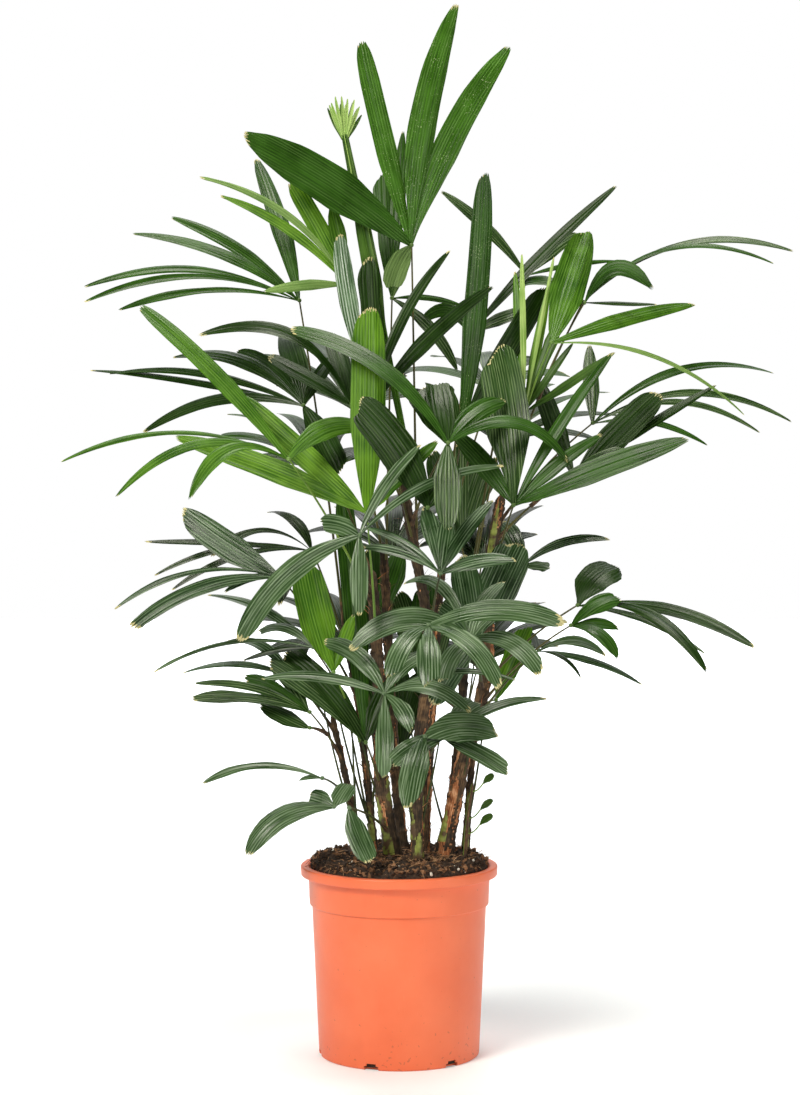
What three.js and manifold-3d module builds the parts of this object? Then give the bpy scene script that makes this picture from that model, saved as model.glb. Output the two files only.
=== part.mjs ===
// A lady palm in its nursery pot: a clump of fibrous canes, each ringed with fan fronds.
// Millimetres, +Z up, -Y to the front. The origin is the centre of the pot's flat underside.
//
// A cane is a row of way points. A frond is a petiole that arches from its cane to a hub, and a
// fan of leaflets that arch from the hub. Everything is placed in turn, and a leaflet that would
// meet what is there already is swung out of its fan, then shortened, and at last left out.

import * as THREE from "three";
import { mergeVertices } from "three/addons/utils/BufferGeometryUtils.js";
import Module from "manifold-3d";

const wasm = await Module();
wasm.setup();

// ---------------------------------------------------------------- driving dimensions

const GAP = 0.3; // running clearance between neighbours
const WELD = 1e-4; // points nearer than this are one
const UP = new THREE.Vector3(0, 0, 1);

const POT = {
  height: 231,
  foot_radius: 97.5,
  body_radius: 106, // just below the band
  band_radii: [109, 110.5], // at the bottom and the top of the band
  rim_radius: 120,
  band_bottom: 183,
  rim_bottom: 219,
  wall: 2.4,
  floor: 3,
  rounding: 2, // of the foot and the rim's outer edges
  lip: 3, // bevel round the mouth
  ledge: 0.8, // slope under the band
  sides: 32,
};
const NOTCH = { count: 6, width: 18, height: 8, depth: 14, first_angle: 250 };
// The soil is heaped: [in from the wall, height] of its edge, its shoulder and its level top.
const SOIL = { edge: [0, 226], shoulder: [9, 233], level: [22, 236] };
const SOIL_TOP = SOIL.level[1];
const CANE = { sides: 8, step: 60, flare: 1.22, flare_height: 30 };
const PETIOLE = {
  sides: 3,
  steps: 4,
  stalk: [3.0, 1.7], // radius at the foot and at the hub
  arch: 0.05,
  below_tip: 8, // least distance from a cane's tip
  fork: 0.5, // where another petiole branches off
  across: [0, 1, 0.2], // the way its flat side is turned from
};
const HUB = { radius: 9, flatness: 0.6 };
const LEAFLET = {
  outline: [[0, 0.14], [0.2, 0.56], [0.48, 1], [0.8, 0.88], [1, 0.34]], // [along, share of width]
  short_outline: [[0, 0.14], [0.34, 0.86], [0.76, 0.92], [1, 0.34]],
  short: 125, // reach under which the short outline serves
  root: 2, // least width, where it joins the hub
  share: 0.97, // of the angle to the next leaflet, which it may fill
  least_thickness: 2.5,
  thickness_ratio: 0.0105, // of its length
  clearance: 0.5,
};
const TURN_STEP = 0.01; // share of an arch over which its direction is taken

// Tries for a leaflet that is in the way: [swing out of the fan, swing in the fan, length].
const LEAFLET_TRIES = [
  [0, 0, 1],
  [5, 0, 1], [-5, 0, 1], [10, 0, 1], [-10, 0, 1],
  [16, 0, 1], [-16, 0, 1], [23, 0, 1], [-23, 0, 1],
  [0, 6, 0.96], [0, -6, 0.96], [12, 6, 0.96], [-12, -6, 0.96], [12, -6, 0.96], [-12, 6, 0.96],
  [32, 0, 0.95], [-32, 0, 0.95],
  [0, 0, 0.78], [12, 0, 0.78], [-12, 0, 0.78], [24, 8, 0.78], [-24, -8, 0.78],
  [0, 0, 0.58], [14, 0, 0.58], [-14, 0, 0.58], [28, 0, 0.58], [-28, 0, 0.58],
];
// Tries for a petiole: sideways bow as a share of its length, and a shift up its cane.
const PETIOLE_TRIES = [
  [0, 0], [0.05, 0], [-0.05, 0], [0.1, 0], [-0.1, 0], [0, 18], [0.06, 18], [-0.06, 18],
  [0, -18], [0.06, -18], [-0.06, -18], [0.16, 0], [-0.16, 0], [0.12, 36], [-0.12, 36],
  [0, 36], [0, -36], [0.2, -30], [-0.2, -30], [0.22, 30], [-0.22, 30],
];

const COLOURS = {
  pot: 0xe8744b,
  soil: 0x35251d,
  cane: 0x6a4a33,
  young: 0x4f8a24,
  ripe: 0x33552a,
  old: 0x4f6b50,
};

// ---------------------------------------------------------------- the plant's own sizes

// Canes: foot and tip radius, and way points from the soil to the tip.
const CANES = {
  left: { radii: [5, 3.4], way: [[-47, 30], [-61, 28, 312], [-74, 25, 372], [-82, 22, 410]] },
  inner_left: { radii: [5.2, 3.6], way: [[-31, 58], [-40, 52, 330], [-52, 46, 430], [-70, 40, 520]] },
  middle: { radii: [10.5, 6.5], way: [[-6, 12], [-21, 4, 326], [-24, -2, 440], [-34, -6, 590]] },
  tall: { radii: [8, 5.5], way: [[22, -18], [22, -14, 358], [36, 0, 500], [6, 6, 690], [9, 6, 745]] },
  inner_right: { radii: [6.5, 5], way: [[31, 52], [37, 48, 360], [48, 42, 540], [60, 38, 660]] },
  right: {
    radii: [11, 6.5],
    way: [[54, 14], [79, 16, 360], [104, 16, 450], [112, 12, 600], [124, 8, 680]],
  },
  outer_right: { radii: [4.6, 3.4], way: [[82, 40], [88, 42, 331], [96, 46, 395], [108, 48, 440]] },
  back: { radii: [7.5, 5], way: [[4, 78], [-8, 98, 380], [-20, 120, 620]] },
  back_right: { radii: [7, 5], way: [[58, 74], [76, 96, 380], [88, 118, 570]] },
};

// Fronds, in the order they are placed. from: where the petiole leaves its cane. hub: where the
// leaflets meet. faces: heading and tilt of the fan's upper side. blade and arch: a leaflet's
// width and how far it arches over its chord. fingers: [angle in the fan, reach, width, arch].
// joins: the frond whose petiole a small fan forks from.
const FRONDS = {
  frond_01: {
    cane: "tall", from: 600, hub: [15, 0, 983], faces: [-75, 8], blade: 30, arch: 0.03, age: "ripe",
    fingers: [
      [148, 245, 54, 0.04], [102, 260, 27, -0.03], [77, 315, 37, 0.23],
      [62, 290, 34, 0.11], [-116, 65, 28, 0.16],
    ],
  },
  spear_01: {
    cane: "tall", from: 738, hub: [-66, 10, 1117], faces: [-90, 0],
    blade: 6, arch: 0, age: "young", stalk: [8, 5], stalk_arch: 0,
    fingers: [[116, 43], [106, 47], [96, 50], [86, 50], [76, 47], [66, 43]],
  },
  frond_02: {
    cane: "tall", from: 640, hub: [57, -120, 742], faces: [-70, 40], blade: 28, arch: 0.1, age: "ripe",
    fingers: [
      [132, 240, 28, 0.14], [102, 95, 38], [83, 100, 36], [-12, 150, 22, 0.25],
      [-104, 135, 34, 0.01], [37, 115, 26],
    ],
  },
  frond_03: {
    cane: "middle", from: 500, hub: [-38, -100, 660], faces: [-100, 8],
    blade: 30, arch: 0.03, age: "young",
    fingers: [
      [91, 250, 38, -0.04], [159, 255, 28, 0.03], [139, 215, 28, 0.01],
      [46, 120, 26], [44, 55, 18],
    ],
  },
  frond_04: {
    cane: "middle", from: 540, hub: [-128, -130, 723], faces: [-65, 30],
    blade: 24, arch: 0.14, age: "young",
    fingers: [
      [125, 255, 26, 0.05], [-179, 275, 14, 0.12], [-167, 225, 16, 0.18], [-157, 145, 20, 0.28],
      [23, 130, 28, 0.15], [-177, 165, 8],
    ],
  },
  frond_05: {
    cane: "right", from: 560, hub: [135, -80, 669], faces: [-115, 20], blade: 20, arch: 0.05, age: "ripe",
    fingers: [[105, 215, 56, 0.21], [22, 225, 30, 0.02], [63, 220, 18], [45, 135, 20], [135, 135, 26]],
  },
  frond_06: {
    cane: "tall", from: 600, hub: [-30, -25, 793], faces: [-84, 6], blade: 26, arch: 0.02, age: "ripe",
    fingers: [[101, 210, 24, -0.14], [92, 180, 36], [63, 210, 14, 0.15], [44, 205, 20, 0.06]],
  },
  frond_07: {
    cane: "inner_left", from: 350, hub: [-78, -60, 470], faces: [-80, 10],
    blade: 30, arch: 0.02, age: "young",
    fingers: [[105, 135, 44, -0.09], [69, 75, 18]],
  },
  frond_08: {
    cane: "middle", from: 580, hub: [-117, 20, 790], faces: [-118, 45],
    blade: 26, arch: 0.08, age: "ripe",
    fingers: [
      [158, 255, 22, 0.11], [168, 365, 12, 0.02], [168, 330, 14, 0.06],
      [145, 175, 26], [-168, 220, 22, 0.12],
      [122, 170, 34, 0.08], [79, 100, 26], [-50, 145, 34, 0.02],
    ],
  },
  frond_09: {
    cane: "tall", from: 655, hub: [-57, -20, 790], faces: [-70, 40], blade: 30, arch: 0.06, age: "ripe",
    fingers: [[139, 120, 40, 0.02], [148, 205, 22, 0.25], [91, 120, 28], [40, 140, 20]],
  },
  frond_10: {
    cane: "right", from: 672, hub: [227, 60, 919], faces: [-115, 45], blade: 18, arch: 0.19, age: "ripe",
    fingers: [[18, 265, 16, 0.16], [14, 240, 11, 0.19], [-175, 125, 20, 0.27], [-5, 100, 8, 0]],
  },
  frond_11: {
    cane: "right", from: 660, hub: [183, -20, 864], faces: [-65, 35], blade: 24, arch: 0.05, age: "young",
    fingers: [[17, 240, 22, 0.02], [-24, 260, 12, 0.12], [59, 220, 46, 0.01]],
  },
  frond_12: {
    cane: "right", from: 640, hub: [242, 90, 770], faces: [-74, 44], blade: 17, arch: 0.12, age: "ripe",
    fingers: [
      [77, 150, 22, 0], [19, 295, 14, 0.13], [1, 275, 14, 0.14],
      [-4, 225, 12, 0.15], [-15, 150, 10, 0.11],
    ],
  },
  frond_13: {
    cane: "right", from: 620, hub: [210, -10, 706], faces: [-102, 35], blade: 24, arch: 0.05, age: "ripe",
    fingers: [[111, 155, 26, -0.01], [30, 75, 18, 0.11], [39, 215, 14, 0.01]],
  },
  frond_14: {
    cane: "inner_left", from: 505, hub: [-123, 50, 920], faces: [-65, 35],
    blade: 20, arch: 0.12, age: "ripe",
    fingers: [
      [91, 235, 30, 0.07], [138, 190, 20, 0.08], [154, 220, 20, 0.09], [178, 275, 14, 0.11],
      [-177, 280, 12, 0.11], [-174, 240, 13, 0.08],
    ],
  },
  frond_15: {
    cane: "tall", from: 690, hub: [-63, 25, 937], faces: [-95, 4], blade: 17, arch: 0.04, age: "young",
    fingers: [
      [144, 230, 14, 0.14], [145, 195, 20, 0.09], [119, 155, 24, 0.03],
      [-174, 105, 14], [102, 105, 22],
    ],
  },
  frond_16: {
    cane: "tall", from: 330, hub: [51, -190, 406], faces: [-80, 45], blade: 34, arch: 0.14, age: "old",
    fingers: [
      [-38, 90, 26, 0.05], [-149, 80, 40, 0.11], [23, 145, 14, 0.1],
      [-141, 55, 24], [48, 75, 28],
    ],
  },
  frond_17: {
    cane: "tall", from: 440, hub: [33, -220, 536], faces: [-80, 50], blade: 28, arch: 0.17, age: "old",
    fingers: [[0, 160, 32, 0.11], [-98, 105, 28], [-58, 125, 28], [-123, 105, 24]],
  },
  frond_18: {
    cane: "middle", from: 560, hub: [-45, -180, 636], faces: [-78, 15], blade: 22, arch: 0.1, age: "old",
    fingers: [
      [54, 135, 14, 0.1], [25, 195, 12, 0.11], [-93, 95, 22, 0],
      [-139, 190, 26, 0.15], [163, 50, 24],
    ],
  },
  frond_19: {
    cane: "tall", from: 500, hub: [47, -190, 593], faces: [-100, 35], blade: 22, arch: 0.08, age: "old",
    fingers: [
      [107, 100, 24], [88, 85, 22], [63, 115, 20], [160, 105, 14, 0.09],
      [147, 115, 12, 0.09], [12, 90, 22],
    ],
  },
  frond_20: {
    cane: "right", from: 450, hub: [214, -40, 549], faces: [-112, 50], blade: 20, arch: 0.08, age: "ripe",
    fingers: [[62, 80, 54, 0.18], [-16, 240, 18, 0.09], [-31, 215, 18, 0.16], [-24, 190, 10, 0.07]],
  },
  frond_21: {
    cane: "right", from: 420, hub: [201, -110, 529], faces: [-75, 50], blade: 18, arch: 0.1, age: "ripe",
    fingers: [[-55, 75, 20, 0.22], [21, 75, 26, 0.11], [-8, 60, 18]],
  },
  frond_22: {
    cane: "right", from: 400, hub: [168, -30, 494], faces: [-65, 50], blade: 18, arch: 0.2, age: "old",
    fingers: [[-10, 90, 20, 0.19], [-29, 135, 15, 0.07], [-55, 65, 8], [73, 45, 12, 0]],
  },
  frond_23: {
    cane: "right", from: 440, hub: [81, -170, 517], faces: [-110, 40], blade: 24, arch: 0.2, age: "old",
    fingers: [
      [-28, 110, 26, 0.2], [-163, 140, 34, 0.22], [-106, 70, 26, 0.24], [137, 175, 16],
      [27, 95, 24], [74, 90, 22],
    ],
  },
  frond_24: {
    cane: "right", from: 470, hub: [90, -95, 511], faces: [-70, 20], blade: 30, arch: 0.05, age: "old",
    fingers: [[59, 145, 52, 0.02], [92, 110, 42], [133, 105, 28], [-122, 100, 30]],
  },
  frond_25: {
    cane: "right", from: 520, hub: [150, 20, 594], faces: [-115, 40], blade: 18, arch: 0.16, age: "old",
    fingers: [[22, 115, 16, 0.13], [-3, 40, 22, 0.06], [124, 85, 24]],
  },
  frond_26: {
    cane: "middle", from: 380, hub: [-17, -170, 455], faces: [-105, 40],
    blade: 22, arch: 0.16, age: "old",
    fingers: [
      [-13, 110, 22, 0.18], [-79, 125, 22, -0.15], [174, 155, 16, 0.07], [8, 155, 10, 0.12],
      [-53, 70, 22], [141, 115, 24], [54, 75, 24],
    ],
  },
  frond_27: {
    cane: "inner_left", from: 470, hub: [-108, 60, 612], faces: [-65, 55],
    blade: 18, arch: 0.12, age: "old",
    fingers: [
      [114, 90, 24, 0.23], [-174, 140, 16, 0.22], [174, 215, 13, 0.02], [-168, 225, 10, 0.09],
      [-160, 220, 11, 0.09], [-126, 140, 18],
    ],
  },
  frond_28: {
    cane: "inner_left", from: 430, hub: [-141, -80, 585], faces: [-100, 30],
    blade: 22, arch: 0.12, age: "old",
    fingers: [[146, 165, 36, -0.03], [-157, 190, 30, 0.11], [-164, 200, 10, 0.13], [-161, 70, 16]],
  },
  frond_29: {
    cane: "inner_left", from: 385, hub: [-104, -20, 497], faces: [-112, 50],
    blade: 20, arch: 0.08, age: "old",
    fingers: [
      [166, 90, 24, 0.18], [-165, 205, 14, 0.11], [-163, 90, 16, 0.05],
      [153, 200, 16], [110, 95, 22],
    ],
  },
  frond_30: {
    cane: "middle", from: 310, hub: [-40, -40, 384], faces: [-80, 30], blade: 30, arch: 0.05, age: "ripe",
    fingers: [[126, 155, 44, 0.09], [136, 160, 26], [92, 330, 30], [59, 95, 26]],
  },
  frond_31: {
    cane: "left", from: 385, hub: [-132, 40, 456], faces: [-115, 50], blade: 18, arch: 0.14, age: "old",
    fingers: [[-179, 160, 14, 0.1], [153, 135, 16], [-152, 55, 14], [90, 80, 20]],
  },
  frond_32: {
    cane: "left", from: 355, hub: [-108, -24, 419], faces: [-75, 45], blade: 22, arch: 0.07, age: "ripe",
    fingers: [[170, 145, 26, 0.07], [143, 95, 24, 0.09], [160, 145, 12, 0.09], [114, 90, 20]],
  },
  frond_33: {
    cane: "left", from: 300, hub: [-91, -80, 346], faces: [-105, 45], blade: 22, arch: 0.13, age: "old",
    fingers: [[-174, 150, 16, 0.13], [-169, 30, 12]],
  },
  frond_34: {
    cane: "middle", from: 268, hub: [-59, -90, 312], faces: [-80, 30], blade: 24, arch: 0.06, age: "old",
    fingers: [[-73, 75, 30, -0.07]],
  },
  frond_35: {
    cane: "back", from: 560, hub: [-9, 80, 925], faces: [-100, 15], blade: 18, arch: 0.04, age: "ripe",
    fingers: [[97, 175, 30, -0.15], [89, 225, 20], [-7, 90, 8, 0.06], [-48, 130, 16, 0.12], [76, 75, 26]],
  },
  frond_36: {
    cane: "inner_right", from: 560, hub: [76, 10, 752], faces: [-65, 5],
    blade: 30, arch: 0.02, age: "ripe",
    fingers: [[82, 335, 34, -0.15], [130, 60, 30], [58, 225, 32]],
  },
  frond_37: {
    cane: "inner_right", from: 640, hub: [88, 90, 882], faces: [-115, 20],
    blade: 20, arch: 0.05, age: "ripe",
    fingers: [[49, 260, 18, 0.03], [171, 75, 20, 0.34], [20, 90, 18]],
  },
  frond_38: {
    cane: "back_right", from: 545, hub: [161, 120, 957], faces: [-65, 30],
    blade: 18, arch: 0.05, age: "ripe",
    fingers: [[126, 155, 20, 0.07], [37, 120, 20], [12, 145, 9, 0.03]],
  },
  frond_39: {
    cane: "right", from: 655, hub: [153, 30, 782], faces: [-105, 10], blade: 15, arch: 0.01, age: "young",
    fingers: [
      [91, 195, 8], [96, 180, 13], [81, 165, 20], [80, 195, 8],
      [71, 130, 20], [55, 105, 10], [29, 140, 12, -0.01],
    ],
  },
  frond_40: {
    cane: "back", from: 585, hub: [-60, 170, 790], faces: [-70, 62], blade: 28, arch: 0.1, age: "ripe",
    fingers: [[15, 140], [42, 190], [68, 215], [92, 215], [116, 180], [142, 110]],
  },
  frond_41: {
    cane: "back_right", from: 530, hub: [130, 185, 745], faces: [-112, 66],
    blade: 28, arch: 0.12, age: "ripe",
    fingers: [[5, 130], [32, 170], [60, 200], [88, 210], [114, 190], [142, 140]],
  },
  frond_42: {
    cane: "back", from: 500, hub: [-96, 140, 705], faces: [-55, 64], blade: 26, arch: 0.13, age: "ripe",
    fingers: [[25, 130], [52, 170], [78, 195], [104, 190], [130, 150], [158, 105]],
  },
  frond_43: {
    cane: "back_right", from: 450, hub: [105, 150, 590], faces: [-122, 62],
    blade: 26, arch: 0.14, age: "old",
    fingers: [[64, 95], [86, 160], [110, 185], [135, 165], [160, 130]],
  },
  frond_44: {
    cane: "back", from: 400, hub: [-10, 200, 600], faces: [-95, 66], blade: 28, arch: 0.14, age: "old",
    fingers: [[8, 130], [36, 160], [64, 185], [92, 195], [120, 180], [150, 145], [178, 110]],
  },
  frond_45: {
    cane: "back", from: 330, hub: [-60, 135, 470], faces: [-60, 60], blade: 26, arch: 0.15, age: "old",
    fingers: [[20, 120], [48, 145], [78, 165], [108, 165], [138, 150], [168, 120]],
  },
  frond_46: {
    cane: "back_right", from: 335, hub: [100, 150, 460], faces: [-120, 60],
    blade: 26, arch: 0.15, age: "old",
    fingers: [[30, 110], [54, 140], [80, 160], [106, 160], [134, 130], [164, 110]],
  },
  frond_47: {
    cane: "inner_right", from: 600, hub: [120, 190, 815], faces: [-85, 70],
    blade: 26, arch: 0.1, age: "ripe",
    fingers: [[30, 130], [58, 160], [86, 170], [114, 165], [144, 140]],
  },
  inner_1: {
    joins: "frond_45", hub: [-35, 150, 494], faces: [-85, 15], blade: 28, arch: 0.02, age: "ripe",
    fingers: [[106, 125, 34], [89, 130, 40], [71, 130, 38]],
  },
  inner_2: {
    joins: "frond_46", hub: [34, 165, 429], faces: [-95, 15], blade: 28, arch: 0.02, age: "ripe",
    fingers: [[108, 140, 38], [91, 150, 42], [75, 135, 38]],
  },
  inner_3: {
    joins: "frond_45", hub: [1, 150, 351], faces: [-85, 15], blade: 28, arch: 0.02, age: "ripe",
    fingers: [[115, 110, 38], [92, 120, 42], [72, 115, 38]],
  },
  inner_4: {
    joins: "frond_43", hub: [80, 160, 615], faces: [-95, 15], blade: 28, arch: 0.02, age: "ripe",
    fingers: [[108, 135, 36], [91, 140, 40], [73, 130, 34]],
  },
  inner_5: {
    joins: "frond_02", hub: [33, -150, 667], faces: [-92, 10], blade: 34, arch: 0.02, age: "ripe",
    fingers: [[124, 160, 46, 0.1], [55, 55, 26]],
  },
  inner_6: {
    joins: "frond_32", hub: [-108, -24, 400], faces: [-75, 45], blade: 24, arch: 0.06, age: "ripe",
    fingers: [[146, 70, 26, 0]],
  },
  inner_7: {
    joins: "frond_33", hub: [-77, -80, 312], faces: [-105, 45], blade: 24, arch: 0.06, age: "old",
    fingers: [[-140, 120, 34, 0.2], [71, 40, 28], [159, 40, 26]],
  },
  inner_8: {
    joins: "frond_46", hub: [120, 60, 426], faces: [-95, 10], blade: 24, arch: 0.02, age: "young",
    fingers: [[67, 105, 28]],
  },
  inner_9: {
    joins: "frond_16", hub: [29, -205, 409], faces: [-80, 45], blade: 24, arch: 0.06, age: "old",
    fingers: [[1, 90, 44, 0.12], [-108, 110, 32, 0.11]],
  },
  inner_10: {
    joins: "frond_13", hub: [213, 0, 702], faces: [-102, 20], blade: 24, arch: 0.06, age: "ripe",
    fingers: [[48, 150, 38, 0.01]],
  },
  inner_11: {
    joins: "frond_10", hub: [228, 50, 917], faces: [-115, 20], blade: 20, arch: 0.06, age: "ripe",
    fingers: [[8, 90, 22, 0.41]],
  },
};

// A young shoot beside the right canes: a thin stem with small leaves all up one side.
const SHOOT = {
  way: [[80, 6], [84, 6, 290], [90, 6, 330]],
  radii: [2.6, 1.8],
  leaves: [[267, 42], [286, 40], [319, 36]], // height up the stem, and reach
  rise: 36,
  forward: 4,
  blade: 11,
  arch: 0.12,
};

// ---------------------------------------------------------------- closed lofts and solids

const vector = (p) => new THREE.Vector3(...p);

// A closed skin over rings of points that run counter-clockwise as seen from the far end.
function loft(rings) {
  const n = rings[0].length;
  const corners = rings.flat().flatMap((p) => [p.x, p.y, p.z]);
  const faces = [];
  const last = (rings.length - 1) * n;
  for (let i = 0; i + 1 < rings.length; i++) {
    for (let j = 0; j < n; j++) {
      const a = i * n + j;
      const b = i * n + ((j + 1) % n);
      faces.push(a, b, b + n, a, b + n, a + n);
    }
  }
  for (let j = 1; j + 1 < n; j++) faces.push(0, j + 1, j, last, last + j, last + j + 1);
  const skin = new THREE.BufferGeometry();
  skin.setAttribute("position", new THREE.Float32BufferAttribute(corners, 3));
  skin.setIndex(faces);
  return skin;
}

function solidOf(geometry) {
  const bare = geometry.clone();
  for (const name of ["normal", "uv"]) bare.deleteAttribute(name);
  const merged = mergeVertices(bare, WELD);
  return new wasm.Manifold(
    new wasm.Mesh({
      numProp: 3,
      vertProperties: new Float32Array(merged.attributes.position.array),
      triVerts: new Uint32Array(merged.index.array),
    }),
  );
}

function geometryOf(solid) {
  const mesh = solid.getMesh();
  const geometry = new THREE.BufferGeometry();
  geometry.setAttribute("position", new THREE.BufferAttribute(mesh.vertProperties, 3));
  geometry.setIndex(new THREE.BufferAttribute(mesh.triVerts, 1));
  return geometry;
}

// ---------------------------------------------------------------- curves of the plant

// The axis of a cane at a height: a smooth curve through its way points.
function caneAxis(way, z) {
  const heights = way.map((p, i) => (i === 0 ? SOIL_TOP + GAP : p[2]));
  const last = way.length - 1;
  let i = 0;
  while (i < last - 1 && z > heights[i + 1]) i++;
  const span = heights[i + 1] - heights[i];
  const t = (z - heights[i]) / span;
  const slope = (k, axis) => {
    const before = Math.max(k - 1, 0);
    const after = Math.min(k + 1, last);
    return ((way[after][axis] - way[before][axis]) / (heights[after] - heights[before])) * span;
  };
  const along = (axis) =>
    way[i][axis] * (2 * t ** 3 - 3 * t ** 2 + 1) +
    slope(i, axis) * (t ** 3 - 2 * t ** 2 + t) +
    way[i + 1][axis] * (3 * t ** 2 - 2 * t ** 3) +
    slope(i + 1, axis) * (t ** 3 - t ** 2);
  return new THREE.Vector3(along(0), along(1), z);
}

function caneRadius(cane, z) {
  const foot = SOIL_TOP + GAP;
  const tip = cane.way.at(-1)[2];
  const t = (z - foot) / (tip - foot);
  const flare = 1 + (CANE.flare - 1) * Math.max(0, 1 - (z - foot) / CANE.flare_height);
  return (cane.radii[0] + (cane.radii[1] - cane.radii[0]) * t) * flare;
}

// Level rings from the flat cut at the soil to the tip, so foot and tip are flat.
function caneSkin(cane, grow = 0) {
  const foot = SOIL_TOP + GAP;
  const tip = cane.way.at(-1)[2];
  const steps = Math.ceil((tip - foot) / CANE.step);
  const heights = [foot];
  for (let i = 0; i <= steps; i++) {
    heights.push(THREE.MathUtils.lerp(foot + CANE.flare_height, tip, i / steps));
  }
  const rings = heights.map((z, k) => {
    const centre = caneAxis(cane.way, z);
    centre.z += k === 0 ? -grow : k === heights.length - 1 ? grow : 0;
    return ring(centre, caneRadius(cane, z) + grow, CANE.sides);
  });
  return loft(rings);
}

function ring(centre, radius, sides) {
  return Array.from({ length: sides }, (_, j) => {
    const a = (2 * Math.PI * j) / sides;
    return new THREE.Vector3(centre.x + radius * Math.cos(a), centre.y + radius * Math.sin(a), centre.z);
  });
}

// A point on an arch from a to b: it stands over its chord by arch, and bows sideways by sway,
// both as a share of the chord's length.
function archPoint(a, b, s, arch, sway = 0) {
  const chord = b.clone().sub(a);
  const reach = chord.length();
  const along = chord.clone().normalize();
  const over = UP.clone().addScaledVector(along, -UP.dot(along));
  const aside = new THREE.Vector3().crossVectors(along, UP);
  const rise = reach * 4 * s * (1 - s);
  return a
    .clone()
    .addScaledVector(chord, s)
    .addScaledVector(over, arch * rise)
    .addScaledVector(aside, sway * rise);
}

// Rings of a section carried along an arch. section(s) gives [sideways, upward] corners.
function archSkin(a, b, arch, sway, face, stations, section) {
  const at = (s) => archPoint(a, b, s, arch, sway);
  return loft(
    stations.map((s) => {
      const centre = at(s);
      const ahead = at(s + TURN_STEP).sub(at(s - TURN_STEP)).normalize();
      const left = new THREE.Vector3().crossVectors(face, ahead).normalize();
      const over = new THREE.Vector3().crossVectors(ahead, left);
      return section(s).map(([x, y]) => centre.clone().addScaledVector(left, x).addScaledVector(over, y));
    }),
  );
}

function petioleSkin(foot, hub, arch, sway, stalk, grow = 0) {
  const face = vector(PETIOLE.across).cross(hub.clone().sub(foot)).negate().normalize();
  const stations = Array.from({ length: PETIOLE.steps + 1 }, (_, i) => i / PETIOLE.steps);
  const radius = (s) => THREE.MathUtils.lerp(...stalk, s) + grow;
  return archSkin(foot, hub, arch, sway, face, stations, (s) =>
    Array.from({ length: PETIOLE.sides }, (_, j) => {
      const a = (2 * Math.PI * j) / PETIOLE.sides;
      return [-radius(s) * Math.sin(a), radius(s) * Math.cos(a)];
    }),
  );
}

// A leaflet is a keeled blade: two edges and a keel, narrow at the root and blunt at the tip. It is
// no wider than its share of the fan, room being the angle to the next leaflet in radians.
function leafletSkin(hub, tip, face, width, room, arch, grow = 0) {
  const reach = tip.distanceTo(hub);
  const thick = Math.max(LEAFLET.least_thickness, LEAFLET.thickness_ratio * reach);
  const outline = reach < LEAFLET.short ? LEAFLET.short_outline : LEAFLET.outline;
  const stations = outline.map(([s]) => s);
  const half = (s) => {
    const full = width * outline[stations.indexOf(s)][1];
    return Math.max(LEAFLET.root, Math.min(full, room * LEAFLET.share * reach * s)) / 2 + grow;
  };
  return archSkin(hub, tip, arch, 0, face, stations, (s) => [
    [half(s), grow],
    [-half(s), grow],
    [0, -thick - grow],
  ]);
}

// ---------------------------------------------------------------- fans

// The upward side of a fan and the two directions that span it.
function fanFrame([heading, tilt]) {
  const h = THREE.MathUtils.degToRad(heading);
  const t = THREE.MathUtils.degToRad(tilt);
  const face = new THREE.Vector3(Math.cos(t) * Math.cos(h), Math.cos(t) * Math.sin(h), Math.sin(t));
  const level = new THREE.Vector3(-Math.sin(h), Math.cos(h), 0);
  const rise = new THREE.Vector3().crossVectors(face, level);
  return { face, level, rise };
}

// The undivided heart of a fan, a flattened knob that the leaflets' roots are sunk in.
function hubSkin(hub, face) {
  const knob = new THREE.OctahedronGeometry(HUB.radius, 0).scale(1, 1, HUB.flatness);
  const turn = new THREE.Quaternion().setFromUnitVectors(UP, face);
  return knob.applyQuaternion(turn).translate(...hub);
}

// The angle from one finger to the nearest other finger of its fan, in radians.
function roomBeside(fingers, angle) {
  const apart = fingers.map(([other]) => {
    const gap = Math.abs(other - angle) % 360;
    return Math.min(gap, 360 - gap);
  });
  return THREE.MathUtils.degToRad(Math.min(90, ...apart.filter((gap) => gap > 0)));
}

// The way a leaflet points: its angle in the fan, then swung out towards the fan's upper side.
function leafletWay(fan, angle, swing) {
  const a = THREE.MathUtils.degToRad(angle);
  const out = THREE.MathUtils.degToRad(swing);
  return new THREE.Vector3()
    .addScaledVector(fan.level, Math.cos(a) * Math.cos(out))
    .addScaledVector(fan.rise, Math.sin(a) * Math.cos(out))
    .addScaledVector(fan.face, Math.sin(out));
}

// ---------------------------------------------------------------- keeping clear

const placed = []; // { owner, solid, box } of everything that stands already
const stems = {}; // { solid, foot, hub, arch, sway } of each frond's petiole

function boxOf(geometry) {
  geometry.computeBoundingBox();
  return geometry.boundingBox;
}

function place(owner, geometry) {
  const solid = solidOf(geometry);
  placed.push({ owner, solid, box: boxOf(geometry) });
  return solid;
}

function isClear(owners, geometry) {
  const box = boxOf(geometry);
  const near = placed.filter((item) => !owners.includes(item.owner) && item.box.intersectsBox(box));
  if (near.length === 0) return true;
  const trial = solidOf(geometry);
  return near.every((item) => trial.intersect(item.solid).isEmpty());
}

// ---------------------------------------------------------------- the parts

const group = new THREE.Group();

function add(name, geometry, colour, roughness) {
  const material = new THREE.MeshStandardMaterial({ color: colour, roughness, metalness: 0 });
  const mesh = new THREE.Mesh(geometry, material);
  mesh.name = name;
  group.add(mesh);
}

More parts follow.
